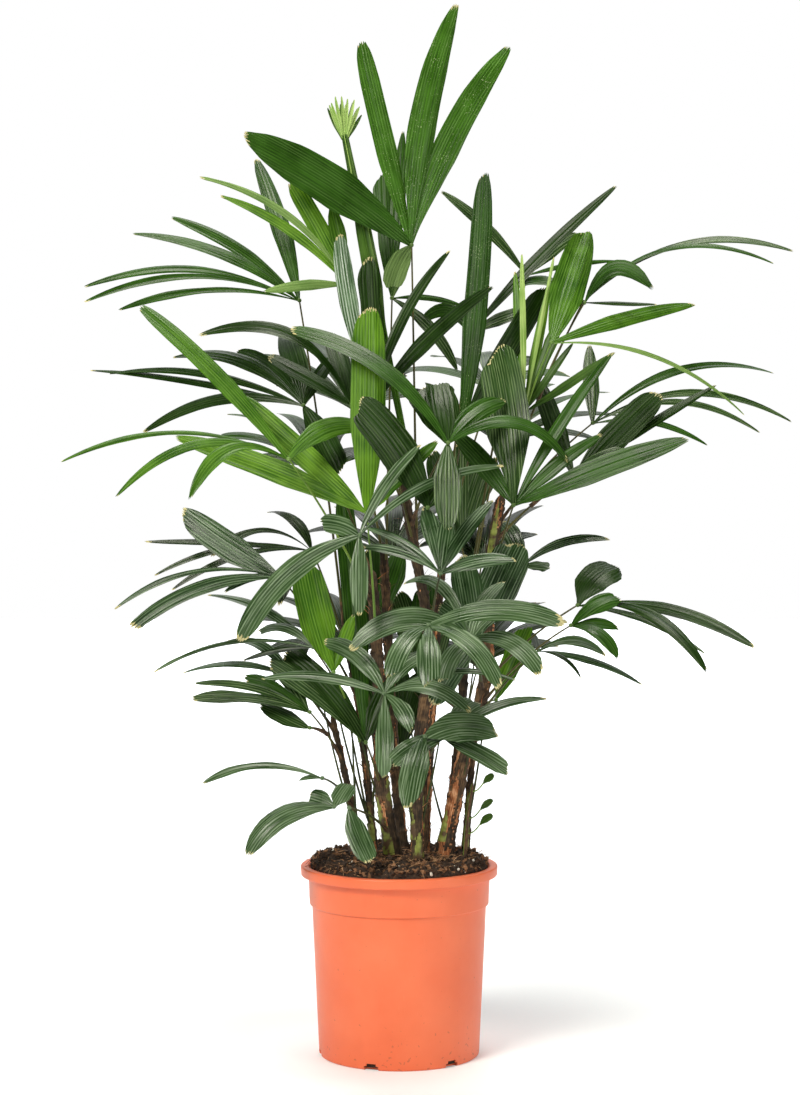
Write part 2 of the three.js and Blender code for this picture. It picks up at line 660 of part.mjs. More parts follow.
function lathe(profile) {
  const points = profile.map(([r, z]) => new THREE.Vector2(r, z));
  return new THREE.LatheGeometry(points, POT.sides).rotateX(Math.PI / 2);
}

// Inner radius of the pot's wall at a height: it widens evenly to the band, then a little faster.
function potInside(z) {
  const p = POT;
  const outside =
    z < p.band_bottom
      ? THREE.MathUtils.mapLinear(z, 0, p.band_bottom, p.foot_radius, p.body_radius)
      : THREE.MathUtils.mapLinear(z, p.band_bottom, p.rim_bottom, p.body_radius, p.band_radii[1]);
  return outside - p.wall;
}

// A thin-walled bucket with a stepped band and a rim, and drain notches round its foot.
function buildPot() {
  const p = POT;
  const lip = p.rim_radius - p.rounding;
  const mouth = potInside(p.rim_bottom);
  const profile = [
    [0, 0],
    [p.foot_radius - p.rounding, 0],
    [p.foot_radius, p.rounding],
    [p.body_radius, p.band_bottom],
    [p.band_radii[0], p.band_bottom + p.ledge],
    [p.band_radii[1], p.rim_bottom],
    [lip, p.rim_bottom],
    [p.rim_radius, p.rim_bottom + p.rounding],
    [p.rim_radius, p.height - p.rounding],
    [lip, p.height],
    [mouth + p.lip, p.height],
    [mouth, p.height - p.lip],
    [mouth, p.rim_bottom],
    [potInside(p.band_bottom), p.band_bottom],
    [potInside(p.floor), p.floor],
    [0, p.floor],
    [0, 0],
  ];
  let pot = solidOf(lathe(profile));
  for (let i = 0; i < NOTCH.count; i++) {
    const angle = THREE.MathUtils.degToRad(NOTCH.first_angle + (360 / NOTCH.count) * i);
    const notch = new THREE.BoxGeometry(NOTCH.depth, NOTCH.width, 2 * NOTCH.height)
      .translate(p.foot_radius, 0, 0)
      .rotateZ(angle);
    pot = pot.subtract(solidOf(notch));
  }
  add("pot", geometryOf(pot), COLOURS.pot, 0.45);
}

// The soil fills the pot to its walls and is heaped round the canes.
function buildSoil() {
  const bottom = POT.floor + GAP;
  const inside = (z) => potInside(z) - GAP;
  const mouth = inside(POT.rim_bottom);
  const profile = [
    [0, bottom],
    [inside(bottom), bottom],
    [inside(POT.band_bottom), POT.band_bottom],
    [mouth, POT.rim_bottom],
    ...[SOIL.edge, SOIL.shoulder, SOIL.level].map(([inset, z]) => [mouth - inset, z]),
    [0, SOIL_TOP],
  ];
  const soil = place("soil", lathe(profile));
  add("soil", geometryOf(soil), COLOURS.soil, 0.95);
}

function buildCanes() {
  for (const [name, cane] of Object.entries(CANES)) {
    const skin = caneSkin(cane);
    place(`cane_${name}`, skin);
    add(`cane_${name}`, skin, COLOURS.cane, 0.85);
  }
}

// The young shoot: its stem, with each small leaf sunk into it.
function buildShoot() {
  let shoot = place("shoot", caneSkin(SHOOT));
  for (const [z, reach] of SHOOT.leaves) {
    const root = caneAxis(SHOOT.way, z);
    const a = THREE.MathUtils.degToRad(SHOOT.rise);
    const way = new THREE.Vector3(reach * Math.cos(a), -SHOOT.forward, reach * Math.sin(a));
    const tip = root.clone().add(way);
    const face = new THREE.Vector3(-Math.sin(a), -1, Math.cos(a)).normalize();
    shoot = shoot.add(place("shoot", leafletSkin(root, tip, face, SHOOT.blade, Math.PI, SHOOT.arch)));
  }
  add("shoot", geometryOf(shoot), COLOURS.young, 0.5);
}

// Where a petiole starts: on its cane's axis, or on the petiole that it forks from.
function petioleFoot(frond, shift) {
  if (frond.joins) {
    const other = stems[frond.joins];
    return archPoint(other.foot, other.hub, PETIOLE.fork, other.arch, other.sway);
  }
  const { way } = CANES[frond.cane];
  return caneAxis(way, Math.min(frond.from + shift, way.at(-1)[2] - PETIOLE.below_tip));
}

// Petioles come first, so that every leaflet can be kept clear of all of them.
function layPetiole(name, frond) {
  const owner = frond.joins ?? name;
  const own = [owner, `cane_${frond.cane}`];
  const hub = vector(frond.hub);
  const { stalk = PETIOLE.stalk, stalk_arch: arch = PETIOLE.arch } = frond;
  const knob = hubSkin(hub, fanFrame(frond.faces).face);
  for (const [sway, shift] of isClear(own, knob) ? PETIOLE_TRIES : []) {
    const foot = petioleFoot(frond, shift);
    if (!isClear(own, petioleSkin(foot, hub, arch, sway, stalk, LEAFLET.clearance))) continue;
    const skin = petioleSkin(foot, hub, arch, sway, stalk);
    let solid = solidOf(skin);
    if (frond.cane) solid = solid.subtract(solidOf(caneSkin(CANES[frond.cane], GAP)));
    placed.push({ owner, solid, box: boxOf(skin) });
    stems[name] = { solid: solid.add(place(owner, knob)), foot, hub, arch, sway };
    return;
  }
  throw new Error(`${name} has no clear way for its petiole`);
}

// The fan at the hub, joined to its petiole. Each leaflet takes the first try that is clear.
function layLeaflets(name, frond) {
  const owner = frond.joins ?? name;
  const fan = fanFrame(frond.faces);
  const hub = vector(frond.hub);
  let { solid } = stems[name];
  for (const [angle, reach, width = frond.blade, arch = frond.arch] of frond.fingers) {
    const room = roomBeside(frond.fingers, angle);
    const tipOf = ([out, turn, length]) =>
      leafletWay(fan, angle + turn, out).multiplyScalar(reach * length).add(hub);
    const skinOf = (tip, grow) => leafletSkin(hub, tip, fan.face, width, room, arch, grow);
    const fits = LEAFLET_TRIES.find((t) => isClear([owner], skinOf(tipOf(t), LEAFLET.clearance)));
    if (fits) solid = solid.add(place(owner, skinOf(tipOf(fits))));
  }
  return solid;
}

function buildFronds() {
  const rows = Object.entries(FRONDS);
  for (const [name, frond] of rows) layPetiole(name, frond);
  const fans = {};
  for (const [name, frond] of rows) fans[name] = layLeaflets(name, frond);
  const branches = rows.filter(([, frond]) => frond.joins);
  for (const [name, frond] of branches) fans[frond.joins] = fans[frond.joins].add(fans[name]);
  for (const [name, frond] of rows) {
    if (frond.cane) add(name, geometryOf(fans[name]), COLOURS[frond.age], 0.5);
  }
}

buildPot();
buildSoil();
buildCanes();
buildShoot();
buildFronds();

export default group;
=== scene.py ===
# %% [markdown]
# # A lady palm in its nursery pot
#
# The real plant is a clump of slim canes in an orange plastic pot. Each cane is wrapped in brown
# fibre, and carries fans of long pleated leaflets on thin stalks.
#
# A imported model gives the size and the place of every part, as plain solids. This lesson dresses
# it: the same rule that grew the solids is written again here and carried to finer detail. Two
# other ways were open. Particles would scatter leaves, but nobody could say where each one is.
# Sculpting would look right from one side only. A rule gives the same plant at every run.

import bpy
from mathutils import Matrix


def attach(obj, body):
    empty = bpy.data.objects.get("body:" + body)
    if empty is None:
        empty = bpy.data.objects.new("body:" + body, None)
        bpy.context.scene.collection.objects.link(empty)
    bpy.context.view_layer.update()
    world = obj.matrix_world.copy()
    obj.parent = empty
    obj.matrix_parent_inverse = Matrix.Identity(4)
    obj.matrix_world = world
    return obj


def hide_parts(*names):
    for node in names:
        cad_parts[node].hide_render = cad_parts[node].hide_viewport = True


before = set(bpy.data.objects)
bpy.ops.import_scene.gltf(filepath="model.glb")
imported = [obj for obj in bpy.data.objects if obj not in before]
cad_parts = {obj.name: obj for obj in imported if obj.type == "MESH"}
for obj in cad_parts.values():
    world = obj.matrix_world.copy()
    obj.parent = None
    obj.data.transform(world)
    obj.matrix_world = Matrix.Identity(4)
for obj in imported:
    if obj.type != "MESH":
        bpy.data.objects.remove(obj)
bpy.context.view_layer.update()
print("parts in the packed model:", len(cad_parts))

# %% Units and small helpers
import math
import random

import bpy
import bmesh
import numpy as np
from mathutils import Matrix

MM = 0.001  # every size below is in millimetres, and Blender counts in metres
UP = np.array([0.0, 0.0, 1.0])


def unit(vectors):
    return vectors / np.linalg.norm(vectors, axis=-1, keepdims=True)


def add_object(name, data):
    made = bpy.data.objects.new(name, data)
    bpy.context.scene.collection.objects.link(made)
    return made


# %% [markdown]
# ## Camera
#
# A long lens a little under three metres away keeps the leaves at the sides from spreading. It
# stands at the height of the lower leaves and looks down very slightly, so that the mouth of the
# pot shows as a thin oval.

# %% Camera
VIEW_HEIGHT = 1095  # of an 800 by 1095 view, in pixels
FOCAL_LENGTH = 2389  # in the same pixels
HORIZON = 479  # pixels from the top
SENSOR = 36

camera = add_object("camera", bpy.data.cameras.new("camera"))
camera.data.sensor_width = camera.data.sensor_height = SENSOR
camera.data.lens = SENSOR * FOCAL_LENGTH / VIEW_HEIGHT
look_down = math.atan((VIEW_HEIGHT / 2 - HORIZON) / FOCAL_LENGTH)
camera.location = (0.001, -2.9, 0.7)  # metres
camera.rotation_euler = (math.pi / 2 - look_down, 0, 0)
bpy.context.scene.camera = camera
print(f"lens {camera.data.lens:.1f} mm, looking down {math.degrees(look_down):.2f} degrees")

# %% [markdown]
# ## Light
#
# Soft boxes in a dim room with a white backdrop: a large key light from the upper left, a weaker
# one from the right and one overhead for the shine on the leaves. A fourth whitens the floor far
# behind. Large lights give the soft edge that a studio has. A pure sun would cut hard shadows into
# the crown.


# %% Light
WARM, NEUTRAL = (1, 0.97, 0.86), (1, 1, 1)


def soft_box(name, place, size, power, colour=WARM, spread=180, aim=(0, 0, 0.65)):
    light = bpy.data.lights.new(name, "AREA")
    light.size, light.energy, light.color = size, power, colour
    light.spread = math.radians(spread)
    box = add_object(name, light)
    box.location = place
    aim = np.array(aim) - np.array(place)
    box.rotation_euler = (
        math.atan2(math.hypot(aim[0], aim[1]), -aim[2]),
        0,
        math.atan2(aim[1], aim[0]) - math.pi / 2,
    )


# places and sizes in metres, power in watts
soft_box("key_light", (-1.7, -2.4, 2.7), size=1.3, power=132)
soft_box("fill_light", (2.6, -2.2, 1.2), size=1.6, power=38)
soft_box("top_light", (0.2, 0.1, 3.0), size=1.0, power=54)
soft_box("backdrop_light", (0, 6.5, 4.5), size=7.0, power=560, colour=NEUTRAL, spread=120, aim=(0, 6.6, 0))

bpy.context.scene.view_settings.view_transform = "Standard"

# %% [markdown]
# ## Colours and nodes
#
# Colours are written as the hex codes of a paint chart and turned to the linear numbers that a
# shader mixes with. One small function adds a node, sets it and links it, and a few more save
# words for the nodes that every material here needs. Patterns are scaled by the real size of a
# grain, streak or fibre: per_metre(2) is a pattern that repeats every 2 mm.


# %% Colour and node helpers
def linear(code):
    channels = [int(code[i : i + 2], 16) / 255 for i in (1, 3, 5)]
    curve = [c / 12.92 if c <= 0.04045 else ((c + 0.055) / 1.055) ** 2.4 for c in channels]
    return (*curve, 1.0)


def per_metre(size):
    return 1 / (size * MM)


def node(tree, kind, inputs=(), **settings):
    made = tree.nodes.new(kind)
    for name, value in settings.items():
        setattr(made, name, value)
    for name, value in dict(inputs).items():
        if isinstance(value, bpy.types.NodeSocket):
            tree.links.new(value, made.inputs[name])
        else:
            made.inputs[name].default_value = value
    return made


def ramp(tree, factor, stops):
    made = node(tree, "ShaderNodeValToRGB", {"Fac": factor})
    elements = made.color_ramp.elements
    while len(elements) < len(stops):
        elements.new(0.5)
    for element, (place, code) in zip(elements, stops):
        element.position, element.color = place, linear(code)
    return made.outputs["Color"]


def noise(tree, vector, size, detail, **settings):
    """Noise with a grain of the size given, in millimetres."""
    return node(tree, "ShaderNodeTexNoise", {"Vector": vector, "Scale": per_metre(size), "Detail": detail},
                **settings).outputs["Fac"]


def drawn_noise(tree, chart, across, along, detail):
    """Noise drawn out along a piece, in streaks of the width and length given, in millimetres."""
    drawn = node(tree, "ShaderNodeMapping",
                 {"Vector": chart, "Scale": (per_metre(across), per_metre(along), 1)}).outputs["Vector"]
    return node(tree, "ShaderNodeTexNoise", {"Vector": drawn, "Scale": 1, "Detail": detail},
                noise_dimensions="2D").outputs["Fac"]


def reckon(tree, operation, *values):
    return node(tree, "ShaderNodeMath", enumerate(values), operation=operation).outputs["Value"]


def shift_range(tree, value, old, new):
    return node(tree, "ShaderNodeMapRange", {"Value": value, "From Min": old[0], "From Max": old[1],
                "To Min": new[0], "To Max": new[1]}).outputs["Result"]


def coat_over(tree, factor, below, above):
    """One colour over another, where the factor is above 0."""
    return node(tree, "ShaderNodeMix", {"Factor": factor, "A": below, "B": above},
                data_type="RGBA").outputs["Result"]


def bumps(tree, height, strength, depth):
    """Relief that only the light sees. depth is in millimetres."""
    return node(tree, "ShaderNodeBump",
                {"Height": height, "Strength": strength, "Distance": depth * MM}).outputs["Normal"]


def blank(name):
    material = bpy.data.materials.new(name)
    material.use_nodes = True
    material.node_tree.nodes.clear()
    return material, material.node_tree


def finish_surface(tree, inputs):
    shader = node(tree, "ShaderNodeBsdfPrincipled", inputs)
    node(tree, "ShaderNodeOutputMaterial", {"Surface": shader.outputs["BSDF"]})


# %% A white backdrop and a dimmer room
BACKDROP_EDGE, CEILING_EDGE = (0.86, 0.96), (0.3, 0.75)  # shares of a direction: ahead, and up


def white_room(backdrop, room, ceiling):
    """Light from all round: a white wall behind the plant, less from the front and from above."""
    world = bpy.data.worlds.new("white_room")
    world.use_nodes = True
    tree = world.node_tree
    way = node(tree, "ShaderNodeTexCoord").outputs["Generated"]
    parts = node(tree, "ShaderNodeSeparateXYZ", {"Vector": way}).outputs
    ahead = shift_range(tree, parts["Y"], BACKDROP_EDGE, (room, backdrop))
    above = shift_range(tree, parts["Z"], CEILING_EDGE, (1.0, ceiling))
    level = reckon(tree, "MULTIPLY", ahead, above)
    tree.links.new(level, tree.nodes["Background"].inputs["Strength"])
    tree.nodes["Background"].inputs["Color"].default_value = (1, 1, 1, 1)
    return world


bpy.context.scene.world = white_room(backdrop=1.0, room=0.12, ceiling=0.6)

# %% [markdown]
# ## Floor
#
# Opal acrylic, matt and almost white, lit a little from below like a light table. It has to carry
# a faint soft shadow and nothing else.


# %% Floor
def opal_acrylic():
    material, tree = blank("matt_opal_acrylic")
    place = node(tree, "ShaderNodeTexCoord").outputs["Object"]
    tint = ramp(tree, noise(tree, place, 4, 3), [(0.3, "#E9ECF0"), (0.7, "#EDF0F4")])
    finish_surface(tree, {"Base Color": tint, "Roughness": 0.85,
                          "Emission Color": linear("#FFFFFF"), "Emission Strength": 0.15})
    return material


FLOOR = 9  # metres either way
floor_mesh = bpy.data.meshes.new("floor")
corners = [(x * FLOOR, y * FLOOR, 0) for x, y in ((-1, -1), (1, -1), (1, 1), (-1, 1))]
floor_mesh.from_pydata(corners, [], [(0, 1, 2, 3)])
floor_mesh.materials.append(opal_acrylic())
floor = add_object("floor", floor_mesh)
print("floor at z = 0, under the pot's flat foot")

# %% [markdown]
# ## Gathering shapes into pieces
#
# The plant has hundreds of leaflets, fibres and chips. Each would be slow as an object of its
# own, so all of one kind go onto one heap and become one piece. A heap keeps the points, the
# four-sided faces, which coat of material each face wears, and a flat map in real metres for the
# patterns.


# %% Heaps
def weave(rows, columns, closed=False):
    """Faces over a grid of points, with the row and the column of each corner."""
    across = columns if closed else columns - 1
    i, j = (a.ravel() for a in np.meshgrid(np.arange(rows - 1), np.arange(across), indexing="ij"))
    row = np.stack([i, i, i + 1, i + 1], axis=1)
    column = np.stack([j, j + 1, j + 1, j], axis=1)
    return row * columns + column % columns, row, column


class Heap:
    def __init__(self):
        self.points, self.quads, self.coats, self.maps = [], [], [], []
        self.caps, self.cap_coats = [], []
        self.count = 0

    def add(self, points, quads, coats, chart, caps=(), cap_coat=0):
        points = points.reshape(-1, 3)
        self.points.append(points)
        self.quads.append(quads + self.count)
        self.coats.append(np.broadcast_to(coats, len(quads)))
        self.maps.append(chart.reshape(-1, 2))
        for cap in caps:
            self.caps.append([int(k) + self.count for k in cap])
            self.cap_coats.append(cap_coat)
        self.count += len(points)

    def piece(self, name, materials, crease):
        faces = np.concatenate(self.quads).tolist() + self.caps
        corners = sum(len(cap) for cap in self.caps)
        mesh = bpy.data.meshes.new(name)
        mesh.from_pydata((np.concatenate(self.points) * MM).tolist(), [], faces)
        chart = np.concatenate([*self.maps, np.zeros((corners, 2))]) * MM
        mesh.uv_layers.new(name="flat_map").data.foreach_set("uv", chart.ravel())
        coats = np.concatenate([*self.coats, self.cap_coats]).astype(int)
        mesh.polygons.foreach_set("material_index", coats)
        for material in materials:
            mesh.materials.append(material)
        mesh.shade_smooth()
        mesh.set_sharp_from_angle(angle=math.radians(crease))
        triangles = sum(len(face) - 2 for face in faces)
        print(f"{name}: {triangles} triangles")
        return add_object(name, mesh)


def tube(heap, centres, side, front, radii, coats, cap_coat=0):
    """A closed skin over rings. side and front span each ring, and radii has a row for each ring."""
    rows, columns = radii.shape
    angles = np.linspace(0, 2 * math.pi, columns, endpoint=False)
    ring = np.cos(angles)[None, :, None] * side[:, None] + np.sin(angles)[None, :, None] * front[:, None]
    points = centres[:, None] + radii[..., None] * ring
    quads, row, column = weave(rows, columns, closed=True)
    run = np.concatenate([[0], np.cumsum(np.linalg.norm(np.diff(centres, axis=0), axis=1))])
    chart = np.stack([column * 2 * math.pi * radii.mean() / columns, run[row]], axis=-1)
    if np.ndim(coats):
        coats = coats[row[:, 0], column[:, 0]]
    last = (rows - 1) * columns
    caps = [range(columns - 1, -1, -1), range(last, last + columns)]
    heap.add(points, quads, coats, chart, caps, cap_coat)


def thread(heap, centres, radii, coats, cap_coat=0, aside=(0, 1, 0)):
    """A tube along a line of points. aside is a direction that the line never takes."""
    ahead = unit(np.gradient(centres, axis=0))
    side = unit(np.cross(ahead, aside))
    tube(heap, centres, side, np.cross(ahead, side), radii, coats, cap_coat)


def alike(rows, side=(1.0, 0, 0), front=(0, 1.0, 0)):
    """The same two directions for every ring of a tube. As it stands, the rings lie level."""
    return np.tile(side, (rows, 1)), np.tile(front, (rows, 1))


# %% [markdown]
# ## The pot
#
# A nursery pot is injection moulded in thin polypropylene: a tapered bucket, a stepped band that
# lets pots nest, a broad rim, and drain notches round the foot. It is turned on a lathe from its
# profile, because every edge of it is round, and the notches are cut with a Boolean.

# %% Profile of the pot
POT_HEIGHT = 231
FOOT_RADIUS, BODY_RADIUS = 97.5, 106
BAND_BOTTOM, BAND_RADII = 183, (109, 110.5)
RIM_BOTTOM, RIM_RADIUS = 219, 120
WALL, BOTTOM = 2.4, 3
POT_SIDES = 192


def pot_inside(height):
    """Inner radius of the wall at a height."""
    if height < BAND_BOTTOM:
        outside = np.interp(height, [0, BAND_BOTTOM], [FOOT_RADIUS, BODY_RADIUS])
    else:
        outside = np.interp(height, [BAND_BOTTOM, RIM_BOTTOM], [BODY_RADIUS, BAND_RADII[1]])
    return outside - WALL


def rounded(corners, steps=5):
    """A profile of [radius, height, rounding] with each corner turned in a small arc."""
    line = []
    for k, (r, z, rounding) in enumerate(corners):
        here = np.array([r, z], float)
        if not rounding:
            line.append(here)
            continue
        before = unit(np.array(corners[k - 1][:2], float) - here) * rounding
        after = unit(np.array(corners[k + 1][:2], float) - here) * rounding
        for t in np.linspace(0, 1, steps):
            line.append(here + before * (1 - t) ** 2 + after * t**2)
    return line


MOUTH = pot_inside(RIM_BOTTOM)
POT_PROFILE = rounded([
    (0, 0, 0),
    (FOOT_RADIUS, 0, 3),
    (BODY_RADIUS, BAND_BOTTOM, 0.8),
    (BAND_RADII[0], BAND_BOTTOM + 0.8, 1.2),
    (BAND_RADII[1], RIM_BOTTOM, 1.0),
    (RIM_RADIUS - 0.6, RIM_BOTTOM, 1.6),
    (RIM_RADIUS, POT_HEIGHT, 2.6),
    (MOUTH + 3, POT_HEIGHT, 1.5),
    (MOUTH, POT_HEIGHT - 3, 1.5),
    (MOUTH, RIM_BOTTOM, 0.5),
    (pot_inside(BAND_BOTTOM), BAND_BOTTOM, 1),
    (pot_inside(BOTTOM), BOTTOM, 2),
    (0, BOTTOM, 0),
])
print("points round the pot's profile:", len(POT_PROFILE))


# %% Turn the pot and cut its notches
def as_object(name, mesh):
    data = bpy.data.meshes.new(name)
    mesh.to_mesh(data)
    mesh.free()
    return add_object(name, data)


def turned(name, profile, sides):
    """A solid of revolution, closed on the axis at both ends of its profile."""
    mesh = bmesh.new()
    rings = []
    for r, z in profile:
        if r == 0:
            rings.append([mesh.verts.new((0, 0, z * MM))])
            continue
        turn = np.arange(sides) * 2 * math.pi / sides
        rings.append([mesh.verts.new((r * MM * math.cos(a), r * MM * math.sin(a), z * MM)) for a in turn])
    for low, high in zip(rings, rings[1:]):
        for k in range(sides):
            n = (k + 1) % sides
            corners = [low[k % len(low)], low[n % len(low)], high[n % len(high)], high[k % len(high)]]
            mesh.faces.new(list(dict.fromkeys(corners)))
    bmesh.ops.recalc_face_normals(mesh, faces=mesh.faces)
    return as_object(name, mesh)


NOTCHES, NOTCH_WIDTH, NOTCH_HEIGHT, NOTCH_DEPTH = 6, 18, 8, 14
NOTCH_ROUNDING = 3
FIRST_NOTCH = 250  # degrees round the foot


def notch_cutter():
    """Rounded lugs that stand through the foot wherever water has to run out."""
    mesh = bmesh.new()
    for k in range(NOTCHES):
        turn = math.radians(FIRST_NOTCH + 360 / NOTCHES * k)
        lug = bmesh.ops.create_cube(mesh, size=1)["verts"]
        bmesh.ops.scale(mesh, verts=lug, vec=(NOTCH_DEPTH * MM, NOTCH_WIDTH * MM, 2 * NOTCH_HEIGHT * MM))
        lengthwise = {e for v in lug for e in v.link_edges if abs(e.verts[0].co.x - e.verts[1].co.x) > 1e-6}
        made = bmesh.ops.bevel(mesh, geom=list(lengthwise), offset=NOTCH_ROUNDING * MM, segments=4,
                               affect="EDGES")
        whole = list({v for f in made["faces"] for v in f.verts})
        bmesh.ops.translate(mesh, verts=whole, vec=(FOOT_RADIUS * MM, 0, 0))
        bmesh.ops.rotate(mesh, verts=whole, cent=(0, 0, 0), matrix=Matrix.Rotation(turn, 3, "Z"))
    return as_object("notch_cutter", mesh)


def cut(piece, cutter):
    modifier = piece.modifiers.new("cut", "BOOLEAN")
    modifier.operation, modifier.object, modifier.solver = "DIFFERENCE", cutter, "EXACT"
    bpy.context.view_layer.update()
    shape = piece.evaluated_get(bpy.context.evaluated_depsgraph_get())
    piece.data = bpy.data.meshes.new_from_object(shape)
    piece.modifiers.clear()
    bpy.data.objects.remove(cutter)


pot = turned("nursery_pot", POT_PROFILE, POT_SIDES)
cut(pot, notch_cutter())
pot.data.shade_smooth()
pot.data.set_sharp_from_angle(angle=math.radians(35))
print("faces on the pot:", len(pot.data.polygons))

# %% [markdown]
# ### Moulded polypropylene, terracotta orange
#
# The mould leaves a satin skin, so highlights are wide and soft. The pigment is even, with faint
# clouds where the plastic is thinner. Handling leaves pale hairline scuffs, and wet soil leaves
# small dark specks low on the wall.


# %% Polypropylene
def polypropylene():
    material, tree = blank("moulded_polypropylene_terracotta")
    place = node(tree, "ShaderNodeTexCoord").outputs["Object"]
    tint = ramp(tree, noise(tree, place, 70, 3), [(0.3, "#DE663C"), (0.7, "#E67248")])
    # hairline scuffs, under 2 mm wide and some eight times as long
    brushed = node(tree, "ShaderNodeMapping", {"Vector": place, "Scale": (1, 1, 0.12)}).outputs["Vector"]
    scuffs = noise(tree, brushed, 1.6, 2)
    worn = ramp(tree, scuffs, [(0.66, "#000000"), (0.8, "#5A5A5A")])
    tint = coat_over(tree, worn, tint, linear("#F29A78"))
    # specks of dried soil, thick at the foot and gone a hand's breadth up
    height = node(tree, "ShaderNodeSeparateXYZ", {"Vector": place}).outputs["Z"]
    low = shift_range(tree, height, (0.0, 0.075), (0.085, 0.0))
    specks = reckon(tree, "ADD", noise(tree, place, 5, 2), low)
    dirty = ramp(tree, specks, [(0.735, "#000000"), (0.765, "#B0B0B0")])
    tint = coat_over(tree, dirty, tint, linear("#8A4A33"))
    finish_surface(tree, {
        "Base Color": tint,
        "Roughness": shift_range(tree, scuffs, (0.0, 1.0), (0.36, 0.5)),
        "Normal": bumps(tree, noise(tree, place, 2, 4), 0.12, 0.4),
        "IOR": 1.49,
        "Subsurface Weight": 0.08,
        "Subsurface Radius": (0.004, 0.0015, 0.0008),
    })
    return material


pot.data.materials.clear()
pot.data.materials.append(polypropylene())
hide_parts("pot")
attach(pot, "root")

# %% [markdown]
# ## Curves that the plant shares
#
# A cane is a smooth line through a few way points. A stalk or a leaflet is an arch between two
# points. Both rules are the same as in the solids, so that each fine piece lies where its solid
# lies.

# %% Smooth lines
def smooth_through(stations, values, at):
    """A smooth line through values at stations, with each slope taken from the two neighbours."""
    stations, values = np.array(stations, float), np.array(values, float)
    last = len(stations) - 1
    before, after = np.maximum(np.arange(last + 1) - 1, 0), np.minimum(np.arange(last + 1) + 1, last)
    slopes = (values[after] - values[before]) / (stations[after] - stations[before])
    i = np.clip(np.searchsorted(stations, at, side="left") - 1, 0, last - 1)
    span = stations[i + 1] - stations[i]
    t = (at - stations[i]) / span
    return (values[i] * (2 * t**3 - 3 * t**2 + 1) + slopes[i] * span * (t**3 - 2 * t**2 + t)
            + values[i + 1] * (3 * t**2 - 2 * t**3) + slopes[i + 1] * span * (t**3 - t**2))


# %% Arches
TURN_STEP = 0.01  # share of an arch over which its direction is taken


def arch_points(start, end, shares, arch, sway=0.0):
    """Points on an arch that stands over its chord by arch and bows sideways by sway."""
    chord = end - start
    reach = np.linalg.norm(chord)
    along = chord / reach
    over = UP - along * along[2]
    aside = np.cross(along, UP)
    rise = (reach * 4 * shares * (1 - shares))[..., None]
    return start + chord * shares[..., None] + over * arch * rise + aside * sway * rise


def arch_frame(start, end, shares, arch, sway, face):
    """Centre, left and upper side of a strip that follows an arch and faces the way given."""
    centre = arch_points(start, end, shares, arch, sway)
    ahead = unit(arch_points(start, end, shares + TURN_STEP, arch, sway)
                 - arch_points(start, end, shares - TURN_STEP, arch, sway))
    left = unit(np.cross(face, ahead))
    return centre, left, np.cross(ahead, left)


# %% [markdown]
# ## The canes
#
# A lady palm's cane is a finger thick and never shows bare wood: old leaf bases wrap it in a
# coarse brown cloth of fibre, ring above ring, each with a loose upper edge. A plain cylinder with
# a picture of fibre would look flat at the edges, so the rings and the crossed fibres are modelled.

# %% Sizes of the canes
SOIL_TOP, GAP = 236, 0.3
CANE_FLARE, FLARE_HEIGHT = 1.22, 30
# radius at the foot and at the tip, then way points [x, y] at the soil and [x, y, height] above
CANES = {
    "left": ((5, 3.4), [(-47, 30), (-61, 28, 312), (-74, 25, 372), (-82, 22, 410)]),
    "inner_left": ((5.2, 3.6), [(-31, 58), (-40, 52, 330), (-52, 46, 430), (-70, 40, 520)]),
    "middle": ((10.5, 6.5), [(-6, 12), (-21, 4, 326), (-24, -2, 440), (-34, -6, 590)]),
    "tall": ((8, 5.5), [(22, -18), (22, -14, 358), (36, 0, 500), (6, 6, 690), (9, 6, 745)]),
    "inner_right": ((6.5, 5), [(31, 52), (37, 48, 360), (48, 42, 540), (60, 38, 660)]),
    "right": ((11, 6.5), [(54, 14), (79, 16, 360), (104, 16, 450), (112, 12, 600), (124, 8, 680)]),
    "outer_right": ((4.6, 3.4), [(82, 40), (88, 42, 331), (96, 46, 395), (108, 48, 440)]),
    "back": ((7.5, 5), [(4, 78), (-8, 98, 380), (-20, 120, 620)]),
    "back_right": ((7, 5), [(58, 74), (76, 96, 380), (88, 118, 570)]),
}


def cane_axis(way, heights):
    """Points of a cane's axis at some heights."""
    stations = [SOIL_TOP + GAP, *(p[2] for p in way[1:])]
    columns = [smooth_through(stations, [p[k] for p in way], heights) for k in (0, 1)]
    return np.stack([*columns, heights], axis=-1)


def cane_radius(cane, heights):
    radii, way = cane
    foot, tip = SOIL_TOP + GAP, way[-1][2]
    flare = 1 + (CANE_FLARE - 1) * np.maximum(0, 1 - (heights - foot) / FLARE_HEIGHT)
    return np.interp(heights, [foot, tip], radii) * flare


print("canes:", len(CANES))

# %% Wrap the canes in fibre
CANE_SIDES, CANE_ROW = 36, 2.2
RING_SPACING = (17, 31)  # from one leaf base to the next
RING_LIP = 1.5  # how far the loose edge stands off
RAGGED = [(2.2, 1, 1), (1.1, 3, 2), (0.7, 7, 1)]  # waves of that edge: height, number, shift
FIBRE_RELIEF, FUZZ = 0.42, 0.16
WEAVE, WEAVE_RISE = 8, 0.42  # waves of crossed fibre round the cane, and radians of a wave per mm up
STRANDS, STRAND_RELIEF = 23, 0.5  # fibres that run up the cane, and their share of the relief
PEEL_DEPTH = 0.7  # the outer cloth's thickness, where it has come off
PEELED = {"right": -0.25, "middle": 1.1, "inner_right": 0.4}  # the lower, the more is bare
NEARLY_WHOLE = 1.4  # the same for the other canes
PEEL_FADE = 0.004  # less has come off higher up
CORE = 0.93  # share of the solid's radius that lies under the cloth
